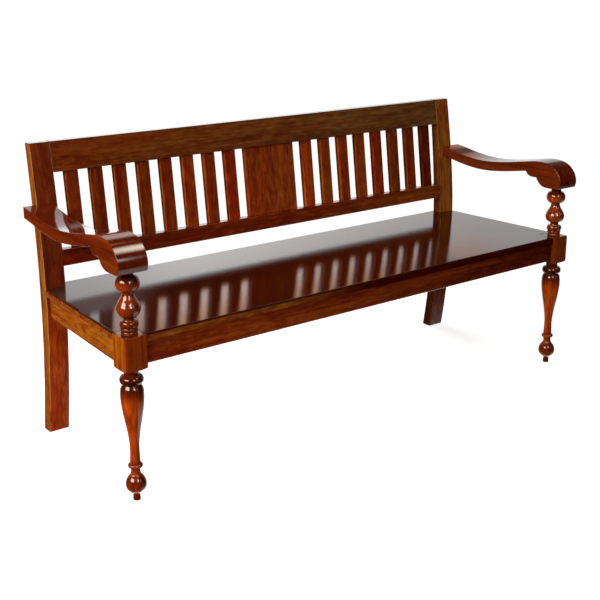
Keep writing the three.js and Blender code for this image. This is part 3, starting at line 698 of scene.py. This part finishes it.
def worn_gloss(vertex):
    """Lacquer is rubbed off the rear arrises and off the upper ones at the front."""
    normal = vertex.normal
    at_rear = normal.y > WORN_REAR_FACING and abs(normal.x) > WORN_REAR_FACING
    at_top = normal.y < -WORN_TOP_FACING and normal.z > WORN_TOP_FACING
    return 0.0 if at_rear or at_top else 1.0


def carry(mesh, name, kind, key, values):
    """Store values on the mesh, in the order of its vertices."""
    mesh.attributes.new(name, kind, "POINT")
    mesh.attributes[name].data.foreach_set(key, values)


def add_piece(name, bm, nodes, grain_axis, tint_and_painted_light, finish=mahogany, gloss=worn_gloss):
    """Finished wooden piece for CAD nodes; its tint, which also carries painted light and shade, and
    its gloss are functions of the vertex.
    """
    mesh = bpy.data.meshes.new(name)
    bmesh.ops.recalc_face_normals(bm, faces=bm.faces)
    bm.to_mesh(mesh)
    bm.free()
    mesh.shade_smooth()
    mesh.set_sharp_from_angle(angle=CREASE_ANGLE)
    order = {"x": (0, 1, 2), "y": (1, 0, 2), "z": (2, 0, 1)}[grain_axis]
    offset = [rng.uniform(-GRAIN_SPREAD, GRAIN_SPREAD) for _ in order]
    middle = sum((vertex.co for vertex in mesh.vertices), Vector()) / len(mesh.vertices)
    grains = []
    tints_and_painted_light = []
    for vertex in mesh.vertices:
        local = vertex.co - middle
        grains += [local[axis] + offset[at] for at, axis in enumerate(order)]
        tints_and_painted_light.extend(tint_and_painted_light(vertex))
    carry(mesh, "grain", "FLOAT_VECTOR", "vector", grains)
    carry(mesh, "tint_and_painted_light", "FLOAT_VECTOR", "vector", tints_and_painted_light)
    carry(mesh, "gloss", "FLOAT", "value", [gloss(vertex) for vertex in mesh.vertices])
    piece = bpy.data.objects.new(name, mesh)
    bpy.context.scene.collection.objects.link(piece)
    mesh.materials.append(finish)
    weighting = piece.modifiers.new("even_normals", "WEIGHTED_NORMAL")
    weighting.keep_sharp = True
    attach(piece, "root")
    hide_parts(*nodes)


def by_face(side_tint_and_painted_light, front_tint_and_painted_light):
    """One colour factor on the faces to the left and right, another on the rest; on the leg blocks this
    paints light and shade by face.
    """
    return lambda vertex: side_tint_and_painted_light if abs(vertex.normal.x) > SIDE_FACING else front_tint_and_painted_light


def along_x(left_tint_and_painted_light, right_tint_and_painted_light, reach):
    """Colour factor that changes from the left end to the right one; on the aprons it paints light that
    falls off along the bench.
    """
    left, right = Vector(left_tint_and_painted_light), Vector(right_tint_and_painted_light)
    return lambda vertex: left.lerp(right, (vertex.co.x / MM + reach) / (2 * reach))


def post_face(depth, splay, rake):
    """Front or rear face of the posts, as two curves in one line."""
    knee = SEAT_HEIGHT - STRAIGHT_DROP
    rise = BACK_HEIGHT - SEAT_HEIGHT
    lower = bezier(
        [
            (depth + splay, 0),
            (depth + splay * SPLAY_HANDLE_SHARE, knee * SPLAY_HEIGHT_SHARES[0]),
            (depth, knee * SPLAY_HEIGHT_SHARES[1]),
            (depth, knee),
        ],
        POST_CURVE_STEPS,
    )
    upper = bezier(
        [
            (depth, SEAT_HEIGHT),
            (depth, SEAT_HEIGHT + rise * RAKE_HEIGHT_SHARES[0]),
            (depth + rake * RAKE_HANDLE_SHARE, SEAT_HEIGHT + rise * RAKE_HEIGHT_SHARES[1]),
            (depth + rake, BACK_HEIGHT),
        ],
        POST_CURVE_STEPS,
    )
    return lower + upper


POST_FRONT = post_face(POST_SETBACK, FOOT_SPLAY, BACK_RAKE)
REAR_FACE_RAKE = BACK_RAKE + POST_TOP_DEPTH - POST_DEPTH
POST_REAR = post_face(POST_SETBACK + POST_DEPTH, FOOT_SPLAY, REAR_FACE_RAKE)


def post_painted_light(side_name):
    """Colour of a post, partly its tone and partly painted light: by face and by height, with a painted
    highlight on the outer front arris, a painted glint on the front arris at the top rail and painted
    shade on the upper front arrises.
    """
    low_painted_light = Vector(POST_LOW_TINT_AND_PAINTED_LIGHT[side_name])
    high_painted_light = Vector(POST_HIGH_TINT_AND_PAINTED_LIGHT[side_name])
    least, most = ARRIS_FACING

    def at_vertex(vertex):
        height = vertex.co.z / MM
        facing, depth_facing, top_facing = vertex.normal
        # Painted shade, painted highlight and painted glint on the front arrises; below, painted light
        # by face and by height
        if depth_facing < 0 and top_facing > TOP_FACING:
            return TOP_ARRIS_PAINTED_SHADE
        if depth_facing < 0 and least < -facing < most:
            return OUTER_ARRIS_PAINTED_HIGHLIGHT
        if depth_facing < 0 and least < facing < most and height > TOP_RAIL_LOW:
            return JOINT_ARRIS_PAINTED_GLINT
        if abs(facing) > SIDE_FACING:
            return POST_SIDE_TINT_AND_PAINTED_LIGHT[side_name]
        return low_painted_light.lerp(high_painted_light, share_between(height, *POST_PAINTED_LIGHT_FADE))

    return at_vertex


def add_posts():
    """Rear posts, each sawn to the same curves."""
    for side_name, side in SIDES:
        outline = without_doubles(POST_FRONT + POST_REAR[::-1])
        blank = prism(outline, side * POST_INNER, side * POST_OUTER)
        add_piece(
            "rear_post_visual_" + side_name,
            rounded(blank, ARRIS),
            ["rear_post_" + side_name],
            "z",
            post_painted_light(side_name),
        )


def leaning_outline(low, high, low_depth, high_depth, thickness):
    """Upright outline that leans from one depth to another."""
    return [
        Vector((low_depth, low)),
        Vector((low_depth + thickness, low)),
        Vector((high_depth + thickness, high)),
        Vector((high_depth, high)),
    ]


def add_rail(name, low, high, tint_and_painted_light):
    """Back rail that follows the front curve of the posts."""
    depths = (depth_at(POST_FRONT, low), depth_at(POST_FRONT, high))
    outline = leaning_outline(low, high, *depths, RAIL_THICKNESS)
    end = POST_INNER - FIT
    add_piece(name + "_visual", rounded(prism(outline, -end, end), ARRIS), [name], "x", tint_and_painted_light)


def top_rail_tint_and_painted_shade(vertex):
    """Colour of the top rail, with painted shade on its upper front arris."""
    # Painted shade on the upper front arris
    if vertex.normal.z > TOP_FACING and vertex.normal.y < 0:
        return TOP_ARRIS_PAINTED_SHADE
    return along_x(TOP_RAIL_LEFT_TINT, TOP_RAIL_RIGHT_TINT, POST_INNER)(vertex)


def add_rails():
    """Bottom and top rail of the back."""
    bottom_rail_stain = along_x(BOTTOM_RAIL_LEFT_TINT, BOTTOM_RAIL_RIGHT_TINT, POST_INNER)
    add_rail("back_bottom_rail", BOTTOM_RAIL_LOW, BOTTOM_RAIL_HIGH, bottom_rail_stain)
    add_rail("back_top_rail", TOP_RAIL_LOW, BACK_HEIGHT, top_rail_tint_and_painted_shade)


def add_upright(name, x, width, tint_and_painted_light):
    """Slat or centre board, leaning from rail to rail."""
    low_depth = depth_at(POST_FRONT, BOTTOM_RAIL_HIGH) + SLAT_SETBACK
    high_depth = depth_at(POST_FRONT, TOP_RAIL_LOW) + SLAT_SETBACK
    outline = leaning_outline(
        BOTTOM_RAIL_HIGH + FIT,
        TOP_RAIL_LOW - FIT,
        low_depth,
        high_depth,
        SLAT_THICKNESS,
    )
    blank = prism(outline, x - width / 2, x + width / 2)
    add_piece(name + "_visual", rounded(blank, ARRIS), [name], "z", tint_and_painted_light)


def slat_tint_and_painted_light(tint_and_painted_light, side_name):
    """The left and right faces darken from front to rear: painted light at the front and painted shadow
    at the rear, where the next slat shades them.
    """
    front = tint_and_painted_light * Vector(SLAT_SIDE_PAINTED_LIGHT[side_name])
    rear = tint_and_painted_light * Vector(SLAT_REAR_PAINTED_SHADOW)

    def at_vertex(vertex):
        if abs(vertex.normal.x) <= SIDE_FACING:
            return tint_and_painted_light
        # Painted shadow at the rear of a side face, painted light at its front
        return rear if vertex.normal.y > 0 else front

    return at_vertex


def add_uprights():
    """Centre board and the slats on both sides of it."""
    add_upright("back_centre_board", 0, CENTRE_BOARD_WIDTH, always(CENTRE_BOARD_STAIN))
    run = 2 * POST_INNER - CENTRE_BOARD_WIDTH - 2 * SLATS_EACH_SIDE * SLAT_WIDTH
    gap = run / (2 * SLATS_EACH_SIDE + 2)
    for side_name, side in SIDES:
        near, far = SLAT_PAINTED_LIGHT_FALLOFF[side_name]
        for index in range(SLATS_EACH_SIDE):
            x = CENTRE_BOARD_WIDTH / 2 + gap + SLAT_WIDTH / 2 + index * (SLAT_WIDTH + gap)
            depth_and_painted_falloff = rng.uniform(*SLAT_STAIN_RANGE)
            greenness = rng.uniform(*SLAT_GREEN_RANGE)
            # Painted light that falls off towards the ends of the back
            depth_and_painted_falloff *= near + (far - near) * index / (SLATS_EACH_SIDE - 1)
            tint_and_painted_light = Vector((1, greenness, greenness)) * depth_and_painted_falloff
            name = f"slat_{side_name}_{index + 1}"
            add_upright(name, side * x, SLAT_WIDTH, slat_tint_and_painted_light(tint_and_painted_light, side_name))


def on_scroll(share):
    """Point of the arm's scroll."""
    return (
        share[0] * SCROLL_LENGTH - ARM_OVERHANG,
        ARM_UNDERSIDE + share[1] * SCROLL_DEPTH,
    )


def on_sweep(share, drop):
    """Point of the arm's sweep, dropped below its top."""
    scroll_rear = SCROLL_LENGTH - ARM_OVERHANG
    return (
        scroll_rear + (ARM_REAR - scroll_rear) * share[0],
        ARM_UNDERSIDE + share[1] * SCROLL_DEPTH - drop,
    )


def arm_outline():
    """Side view of an arm: sweep, scroll, lobe, ovolo and underside."""
    top_points = [on_sweep(share, 0) for share in SWEEP_SHARES]
    top_points += [on_scroll(share) for share in CREST_SHARES]
    top = catmull_rom(top_points, ARM_TOP_STEPS)
    underside_points = [on_sweep(share, ARM_THICKNESS) for share in SWEEP_SHARES[::-1]]
    underside = catmull_rom(underside_points, ARM_UNDERSIDE_STEPS)
    ovolo_points = [on_scroll(share) for share in OVOLO_SHARES[::-1]]
    ovolo = bezier(ovolo_points + [underside[0]], OVOLO_STEPS)
    lobe = bezier([on_scroll(share) for share in LOBE_SHARES[::-1]], LOBE_STEPS)
    flat = [Vector(on_scroll(LOBE_FLAT_SHARES))]
    return without_doubles(top + flat + lobe + ovolo + underside)


def add_arms():
    """Scrolled arms."""
    for side_name, side in SIDES:
        blank = prism(arm_outline(), side * (ARM_OUTER - ARM_WIDTH), side * ARM_OUTER)
        add_piece(
            "arm_visual_" + side_name,
            rounded(blank, ARM_ARRIS),
            ["arm_" + side_name],
            "y",
            by_face(ARM_SIDE_STAINS[side_name], ARM_STAIN),
            turned_mahogany,
            always(1.0),
        )


def seat_half_width(depth):
    """Half width of the seat, which narrows from the legs to the posts."""
    share = (depth - LEG_SQUARE) / (POST_SETBACK - LEG_SQUARE)
    at_legs = LEG_OUTER - SEAT_SIDE_INSET
    return at_legs + (POST_OUTER - at_legs) * share


def at_height(edge, height):
    """Whether both ends of an edge are at a height."""
    return all(abs(vertex.co.z - height * MM) < FIT * MM for vertex in edge.verts)


def is_open(edge):
    """Whether an edge of the seat is at its front or its sides, clear of legs and posts."""
    middle = (edge.verts[0].co + edge.verts[1].co) / 2
    depth = middle.y / MM - PLAN_SHIFT
    at_front = depth < SEAT_FRONT + FIT
    at_side = LEG_SQUARE + FIT < depth - BLOCK_SEAM and abs(middle.x) > POST_OUTER * MM
    return at_front or at_side


def cut_through(bm, place, normal, **clear):
    """Cut a solid along a plane and return the cut's geometry."""
    cut = bmesh.ops.bisect_plane(
        bm,
        geom=list(bm.verts) + list(bm.edges) + list(bm.faces),
        plane_co=place,
        plane_no=normal,
        **clear,
    )
    return cut["geom_cut"]


def seat_plank():
    """One notched plank with rounded edges, scored where the painted light on its front edge changes.
    """
    leg_inner = LEG_OUTER - LEG_SQUARE
    half = [
        (leg_inner - BLOCK_SEAM, SEAT_FRONT),
        (leg_inner - BLOCK_SEAM, LEG_SQUARE + BLOCK_SEAM),
        (seat_half_width(LEG_SQUARE), LEG_SQUARE + BLOCK_SEAM),
        (seat_half_width(POST_SETBACK), POST_SETBACK - FIT),
        (POST_INNER - FIT, POST_SETBACK - FIT),
        (POST_INNER - FIT, SEAT_REAR),
    ]
    mirrored = [(-x, y) for x, y in half[::-1]]
    outline = [Vector(point) for point in half + mirrored]
    plank = prism(outline, SEAT_UNDERSIDE, SEAT_HEIGHT, along_x=False)
    rounded(plank, SEAT_ROUNDING, lambda edge: at_height(edge, SEAT_HEIGHT) and is_open(edge))
    rounded(plank, SEAT_ARRIS, lambda edge: at_height(edge, SEAT_UNDERSIDE))
    for reach in SEAT_FRONT_PAINTED_LIGHT_FADE:
        cut_through(plank, in_metres(reach, 0, 0), (1, 0, 0))
    return plank


def sawn(bm, depth, keep_rear):
    """Cut a solid at a depth and close the cut."""
    clear = {"clear_inner": keep_rear, "clear_outer": not keep_rear}
    cut = cut_through(bm, in_metres(0, depth, 0), (0, 1, 0), **clear)
    rim = [item for item in cut if isinstance(item, bmesh.types.BMEdge)]
    bmesh.ops.contextual_create(bm, geom=rim)


def seat_tint_and_painted_light(vertex):
    """Colour of the seat: painted shade on top, the wood's tone at the sides, and along the front edge
    a painted reflection that changes to painted shade.
    """
    # Painted shade on the top
    if vertex.co.z > (SEAT_HEIGHT - SEAT_ROUNDING + FIT) * MM:
        return SEAT_TOP_PAINTED_SHADE
    if abs(vertex.normal.x) > SIDE_FACING:
        return SEAT_SIDE_STAIN
    # Painted reflection at the left of the front edge, changing to painted shade
    share = share_between(vertex.co.x / MM, *SEAT_FRONT_PAINTED_LIGHT_FADE)
    return Vector(SEAT_FRONT_LEFT_PAINTED_REFLECTION).lerp(Vector(SEAT_FRONT_PAINTED_SHADE), share)


def seat_gloss(vertex):
    """Lacquer everywhere but on the rounding of the seat's front edge."""
    on_rounding = vertex.normal.y < -ROUNDING_FACING and vertex.co.z < (SEAT_HEIGHT - FIT) * MM
    return 0.0 if on_rounding else 1.0


def add_seat():
    """The seat's boards, sawn from one plank at the glue lines."""
    board_depth = (SEAT_REAR - SEAT_FRONT) / SEAT_BOARDS
    for index in range(SEAT_BOARDS):
        board = seat_plank()
        if index > 0:
            sawn(board, SEAT_FRONT + index * board_depth + GLUE_LINE / 2, True)
        if index < SEAT_BOARDS - 1:
            sawn(board, SEAT_FRONT + (index + 1) * board_depth - GLUE_LINE / 2, False)
        name = f"seat_board_{index + 1}"
        add_piece(name + "_visual", board, [name], "x", seat_tint_and_painted_light, seat_mahogany, seat_gloss)


def add_straight_apron(name, half_length, front):
    """Front or rear apron, square at both ends."""
    low = UNDER_SEAT - APRON_HEIGHT
    outline = leaning_outline(low, UNDER_SEAT, front, front, APRON_THICKNESS)
    blank = prism(outline, -half_length, half_length)
    # Painted light, lighter at the left end and darker at the right end
    tint_and_painted_light = along_x(APRON_LEFT_PAINTED_LIGHT, APRON_RIGHT_PAINTED_SHADE, LEG_OUTER)
    add_piece(name + "_visual", rounded(blank, ARRIS), [name], "x", tint_and_painted_light)


def side_apron_outline(front, rear):
    """Side view of a side apron, with a round lower corner at the post."""
    low = UNDER_SEAT - SIDE_APRON_HEIGHT
    outline = [(front, low)]
    for step in range(SIDE_APRON_CORNER_STEPS + 1):
        angle = step * math.pi / 2 / SIDE_APRON_CORNER_STEPS
        outline.append(
            (
                rear - SIDE_APRON_CORNER + SIDE_APRON_CORNER * math.sin(angle),
                low + SIDE_APRON_CORNER - SIDE_APRON_CORNER * math.cos(angle),
            )
        )
    outline += [(rear, UNDER_SEAT), (front, UNDER_SEAT)]
    return [Vector(point) for point in outline]


def add_aprons():
    """Front and rear apron, and the side aprons, which flare with the seat."""
    add_straight_apron("front_apron", LEG_OUTER - LEG_SQUARE - FIT, FRONT_APRON_FRONT)
    add_straight_apron("rear_apron", POST_INNER - FIT, POST_SETBACK + REAR_APRON_SETBACK)
    front = LEG_SQUARE + FIT
    rear = POST_SETBACK - FIT
    reach = seat_half_width(front) - SIDE_APRON_INSET
    slope = (seat_half_width(rear) - seat_half_width(front)) / (rear - front)
    start = in_metres(0, front, 0).y
    for side_name, side in SIDES:
        outline = side_apron_outline(front, rear)
        blank = prism(outline, side * (reach - APRON_THICKNESS), side * reach)
        for vertex in blank.verts:
            vertex.co.x += side * slope * (vertex.co.y - start)
        add_piece(
            "side_apron_visual_" + side_name,
            rounded(blank, ARRIS),
            ["side_apron_" + side_name],
            "y",
            always(SIDE_APRON_STAIN),
        )


class Turning:
    """Profile of a turned piece as (height, radius) pairs, made from the bottom up."""

    def __init__(self, low):
        self.low = low
        self.pairs = []

    def points(self, pairs, rise):
        """Straight stretches through points, given by their height above the last stretch."""
        self.pairs += [(self.low + up, radius) for up, radius in pairs]
        self.low += rise

    def bead(self, neck, radius, rise, steps):
        """Half-round ring."""
        for step in range(steps + 1):
            angle = -math.pi / 2 + math.pi * step / steps
            height = self.low + rise / 2 + math.sin(angle) * rise / 2
            self.pairs.append((height, neck + (radius - neck) * math.cos(angle)))
        self.low += rise

    def swell(self, shares, radius, rise):
        """Free curve."""
        points = [(self.low + rise * up, radius * out) for up, out in shares]
        self.pairs += [tuple(point) for point in catmull_rom(points, SWELL_STEPS)]
        self.low += rise


def lower_turning():
    """From the floor to the underside of the block."""
    turning = Turning(0)
    turning.points(PAD_POINTS, 0)
    turning.swell(FOOT_SHARES, FOOT_RADIUS, FOOT_HEIGHT)
    turning.points([(ANKLE_HEIGHT, ANKLE_RADIUS)], ANKLE_HEIGHT)
    turning.bead(ANKLE_RADIUS, ANKLE_RING_RADIUS, ANKLE_RING_HEIGHT, ANKLE_RING_STEPS)
    vase_height = BLOCK_LOW - NECK_HEIGHT - COLLAR_HEIGHT - turning.low
    turning.swell(VASE_SHARES, VASE_RADIUS, vase_height)
    turning.bead(COLLAR_NECK_RADIUS, COLLAR_RADIUS, COLLAR_HEIGHT, COLLAR_STEPS)
    turning.points(NECK_POINTS, NECK_HEIGHT)
    return turning.pairs


def upper_turning():
    """From the top of the block to the arm."""
    turning = Turning(SEAT_HEIGHT)
    turning.points(BLOCK_TOP_POINTS, 0)
    for ring in STACKED_RINGS:
        turning.bead(*ring)
    turning.points(WAIST_POINTS, WAIST_HEIGHT)
    turning.swell(BELL_SHARES, BELL_RADIUS, BELL_HEIGHT)
    turning.points([(BELL_NECK_HEIGHT, BELL_NECK_RADIUS)], BELL_NECK_HEIGHT)
    turning.bead(BELL_NECK_RADIUS, BALL_RADIUS, BALL_HEIGHT, BALL_STEPS)
    turning.points(TOP_NECK_POINTS, 0)
    return turning.pairs


def leg_angles():
    """Angles round the axis, closer together at the corners of the block."""
    edge = math.atan2(LEG_SQUARE / 2 - CORNER_RADIUS, LEG_SQUARE / 2)
    eighth = [edge * step / SQUARE_ANGLES for step in range(SQUARE_ANGLES)]
    eighth += [edge + (math.pi / 4 - edge) * step / CORNER_ANGLES for step in range(CORNER_ANGLES)]
    quarter = eighth + [math.pi / 4] + [math.pi / 2 - angle for angle in eighth[:0:-1]]
    return [angle + turn * math.pi / 2 for turn in range(4) for angle in quarter]


def square_radius(angle, inset):
    """Distance from the axis to the rounded square at an angle."""
    half = LEG_SQUARE / 2 - inset
    fold = abs((angle + math.pi / 4) % (math.pi / 2) - math.pi / 4)
    centre = half - CORNER_RADIUS
    if math.tan(fold) * half <= centre:
        return half / math.cos(fold)
    along = centre * (math.cos(fold) + math.sin(fold))
    return along + math.sqrt(along**2 - 2 * centre**2 + CORNER_RADIUS**2)


def square_ring(inset=0, widest=math.inf):
    """Radius by angle of the rounded square, or of a circle where that is smaller."""
    return lambda angle: min(widest, square_radius(angle, inset))


def leg_rings():
    """Heights of the rings, each with a function of the angle for its radius."""
    rings = [(height, always(radius)) for height, radius in lower_turning()]
    for step in range(SHOULDER_STEPS + 1):
        rise = SHOULDER_RISE * (step / SHOULDER_STEPS) ** 2
        drop = 1 - rise / SHOULDER_HEIGHT
        widest = SHOULDER_RADIUS + SHOULDER_SPREAD * math.sqrt(1 - drop**2)
        rings.append((BLOCK_LOW + rise, square_ring(widest=widest)))
    rings.append((BLOCK_LOW + SHOULDER_TOP, square_ring()))
    for step in range(ARRIS_STEPS + 1):
        turn = step * math.pi / 2 / ARRIS_STEPS
        height = SEAT_HEIGHT - ARRIS + ARRIS * math.sin(turn)
        rings.append((height, square_ring(ARRIS * (1 - math.cos(turn)))))
    rings += [(height, always(radius)) for height, radius in upper_turning()]
    return rings


def leg_solid(side):
    """Front leg as rings of points round its axis."""
    bm = bmesh.new()
    angles = leg_angles()
    rings = []
    for height, reach in leg_rings():
        ring = []
        for angle in angles:
            radius = reach(angle)
            x = side * LEG_AXIS[0] + radius * math.cos(angle)
            y = LEG_AXIS[1] + radius * math.sin(angle)
            ring.append(bm.verts.new(in_metres(x, y, height)))
        rings.append(ring)
    bm.faces.new(rings[0][::-1])
    bm.faces.new(rings[-1])
    for lower, upper in zip(rings, rings[1:]):
        for index in range(len(angles)):
            after = (index + 1) % len(angles)
            bm.faces.new((lower[index], lower[after], upper[after], upper[index]))
    bmesh.ops.remove_doubles(bm, verts=bm.verts, dist=SAME_POINT * MM)
    return bm


def turning_painted_light_at(height):
    """Depth of the painted light and shade on the turnings at a height."""
    for (low, low_tone), (high, high_tone) in zip(TURNING_PAINTED_LIGHT_AND_SHADE, TURNING_PAINTED_LIGHT_AND_SHADE[1:]):
        if height <= high:
            return low_tone + (high_tone - low_tone) * (height - low) / (high - low)
    return TURNING_PAINTED_LIGHT_AND_SHADE[-1][1]


def leg_tint_and_painted_light(side_name):
    """Colour of a front leg: painted light and shade by face on the block, and on the turning its tone
    with painted light and shade by height.
    """
    on_block = by_face(BLOCK_SIDE_PAINTED_LIGHT[side_name], BLOCK_FRONT_PAINTED_LIGHT[side_name])

    def at_vertex(vertex):
        height = vertex.co.z / MM
        # Painted light and shade by face on the block
        if BLOCK_LOW < height < SEAT_HEIGHT:
            return on_block(vertex)
        # The turning's tone, with painted light and shade by height
        return Vector(TURNING_STAIN) * turning_painted_light_at(height)

    return at_vertex


def block_gloss(vertex):
    """Lacquer everywhere but on the block's upper arrises."""
    least, most = WORN_BLOCK_SHARES
    below_top = (SEAT_HEIGHT - vertex.co.z / MM) / ARRIS
    return 0.0 if least < below_top < most else 1.0


def add_legs():
    """Front legs, each one turning with a square block in it."""
    for side_name, side in SIDES:
        add_piece(
            "front_leg_visual_" + side_name,
            leg_solid(side),
            ["front_leg_" + side_name],
            "z",
            leg_tint_and_painted_light(side_name),
            turned_mahogany,
            block_gloss,
        )


add_posts()
add_rails()
add_uprights()
add_arms()
add_seat()
add_aprons()
add_legs()

# CAD nodes that stay: frame members out of sight, screws and plugs
for name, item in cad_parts.items():
    if item.hide_render:
        continue
    if "plug" in name or "bearer" in name:
        finish = hidden_wood["y"]
    elif "screw" in name:
        finish = screw_steel
    else:
        finish = hidden_wood["z"]
    item.data.materials.clear()
    item.data.materials.append(finish)


def add_camera():
    """Camera at the photograph's place, without depth of field."""
    forward = Vector(
        (
            -math.sin(CAMERA_YAW) * math.cos(CAMERA_PITCH),
            math.cos(CAMERA_YAW) * math.cos(CAMERA_PITCH),
            math.sin(CAMERA_PITCH),
        )
    )
    level_right = forward.cross(Vector((0, 0, 1))).normalized()
    level_up = level_right.cross(forward)
    right = level_right * math.cos(CAMERA_ROLL) + level_up * math.sin(CAMERA_ROLL)
    up = level_up * math.cos(CAMERA_ROLL) - level_right * math.sin(CAMERA_ROLL)
    data = bpy.data.cameras.new("camera")
    data.sensor_width = CAMERA_SENSOR
    data.lens = CAMERA_LENS
    data.shift_x, data.shift_y = CAMERA_SHIFT
    data.clip_end = CAMERA_REACH
    data.dof.use_dof = False
    camera = bpy.data.objects.new("camera", data)
    bpy.context.scene.collection.objects.link(camera)
    turn = Matrix((right, up, -forward)).transposed().to_4x4()
    camera.matrix_world = Matrix.Translation(in_metres(*CAMERA_PLACE)) @ turn
    bpy.context.scene.camera = camera


def add_lamp(name, direction, distance, size, power, colour):
    """Soft lamp aimed at the bench from a direction."""
    data = bpy.data.lights.new(name, "AREA")
    data.shape = "RECTANGLE"
    data.size, data.size_y = size
    data.energy = power
    data.color = colour
    lamp = bpy.data.objects.new(name, data)
    bpy.context.scene.collection.objects.link(lamp)
    towards = Vector(direction).normalized()
    lamp.location = LAMP_AIM + towards * distance
    lamp.rotation_mode = "QUATERNION"
    lamp.rotation_quaternion = towards.to_track_quat("Z", "Y")
    lamp.visible_camera = False
    return lamp


def add_lamps():
    """The window at the left end, a lamp in front, and one behind for what the photo hides."""
    add_lamp("window", **WINDOW)

    # The lamp in front is split, as its highlights are strong and its light is weak
    add_lamp("front_light", **FRONT_LIGHT).visible_glossy = False
    add_lamp("front_glint", **FRONT_GLINT).visible_diffuse = False
    add_lamp("rear_light", **REAR_LIGHT).visible_glossy = False


def faded(graph, parts, fades):
    """Product of the fades along the parts of a direction."""
    values = [graph.fade(parts[key], *fade) for key, steps in fades.items() for fade in steps]
    return graph.product(*values)


def wall_strength(graph, parts):
    """Mirrored wall behind the bench, brightest in the middle."""
    wall = faded(graph, parts, WALL_FADES)
    for corner in DIM_CORNERS:
        wall = graph.product(wall, graph.sum("SUBTRACT", 1.0, faded(graph, parts, corner)))
    return wall


def strips_strength(graph, parts):
    """Mirrored strips on the ceiling."""
    angle = graph.sum("ARCTAN2", parts["up"], parts["back"])
    strips = 0.0
    for middle, half_width, outer, inner in CEILING_STRIPS:
        aside = graph.sum("ABSOLUTE", graph.sum("SUBTRACT", angle, middle))
        strip = graph.product(
            graph.fade(aside, half_width, 0.0, 0.0, 1.0),
            graph.fade(parts["right"], *SCROLL_MIRRORS, outer, inner),
        )
        strips = graph.sum("ADD", strips, strip)
    return graph.product(strips, faded(graph, parts, STRIPS_FADES))


def mirrored_colour(graph, parts):
    """Colour of the mirrored studio, warm where the seat mirrors the wall's low part."""
    plain = graph.mix_colours(faded(graph, parts, CEILING_FADES), WALL_COLOUR, CEILING_COLOUR)
    return graph.mix_colours(faded(graph, parts, WARM_FADES), plain, WARM_COLOUR)


def studio_world():
    """White for the camera, dim light, and a studio that only glossy surfaces mirror."""
    world = bpy.data.worlds.new("studio")
    bpy.context.scene.world = world
    world.use_nodes = True
    graph = Graph(world.node_tree)
    background = world.node_tree.nodes["Background"].inputs
    rays = graph.node("ShaderNodeLightPath", {}).outputs
    split = graph.node("ShaderNodeSeparateXYZ", {0: graph.place("Generated")})
    parts = dict(zip(("right", "back", "up"), split.outputs))
    parts["slope"] = graph.sum("DIVIDE", parts["up"], parts["back"])
    wall_and_strips = graph.sum("ADD", wall_strength(graph, parts), strips_strength(graph, parts))
    mirrored = graph.sum("ADD", wall_and_strips, faded(graph, parts, NEAR_FLOOR_FADES))
    unseen = graph.choose(rays["Is Glossy Ray"], ROOM_STRENGTH, mirrored)
    graph.feed(background["Strength"], graph.choose(rays["Is Camera Ray"], unseen, 1.0))
    tint = mirrored_colour(graph, parts)
    graph.feed(background["Color"], graph.mix_colours(rays["Is Glossy Ray"], WHITE, tint))


def floor():
    """White floor that keeps the bench's shadow; light bounces off the platform only."""
    mesh = bpy.data.meshes.new("floor")
    signs = ((-1, -1), (1, -1), (1, 1), (-1, 1))
    corners = [(FLOOR_REACH * x, FLOOR_REACH * y, 0) for x, y in signs]
    mesh.from_pydata(corners, [], [(0, 1, 2, 3)])
    item = bpy.data.objects.new("floor", mesh)
    bpy.context.scene.collection.objects.link(item)
    material, graph, surface = new_material("floor")
    length, depth = PLATFORM
    inputs = {"Vector": graph.place("Object"), "Scale": (1 / length, 1 / depth, 1)}
    scaled = graph.node("ShaderNodeMapping", inputs).outputs["Vector"]
    outside = graph.node("ShaderNodeVectorMath", {0: scaled}, operation="LENGTH").outputs["Value"]
    rays = graph.node("ShaderNodeLightPath", {}).outputs
    white = graph.fade(outside, *PLATFORM_SHARES, PLATFORM_WHITE, OUTER_FLOOR_WHITE)
    glow = graph.fade(outside, *PLATFORM_SHARES, PLATFORM_WHITE, 1.0)
    graph.feed(surface["Base Color"], white)
    graph.feed(surface["Roughness"], 1.0)
    graph.feed(surface["Specular IOR Level"], 0.0)
    graph.feed(surface["Emission Color"], WHITE)
    graph.feed(surface["Emission Strength"], graph.product(rays["Is Camera Ray"], glow))
    mesh.materials.append(material)
    item.visible_glossy = False


add_camera()
add_lamps()
studio_world()
floor()
bpy.context.scene.view_settings.view_transform = "Standard"
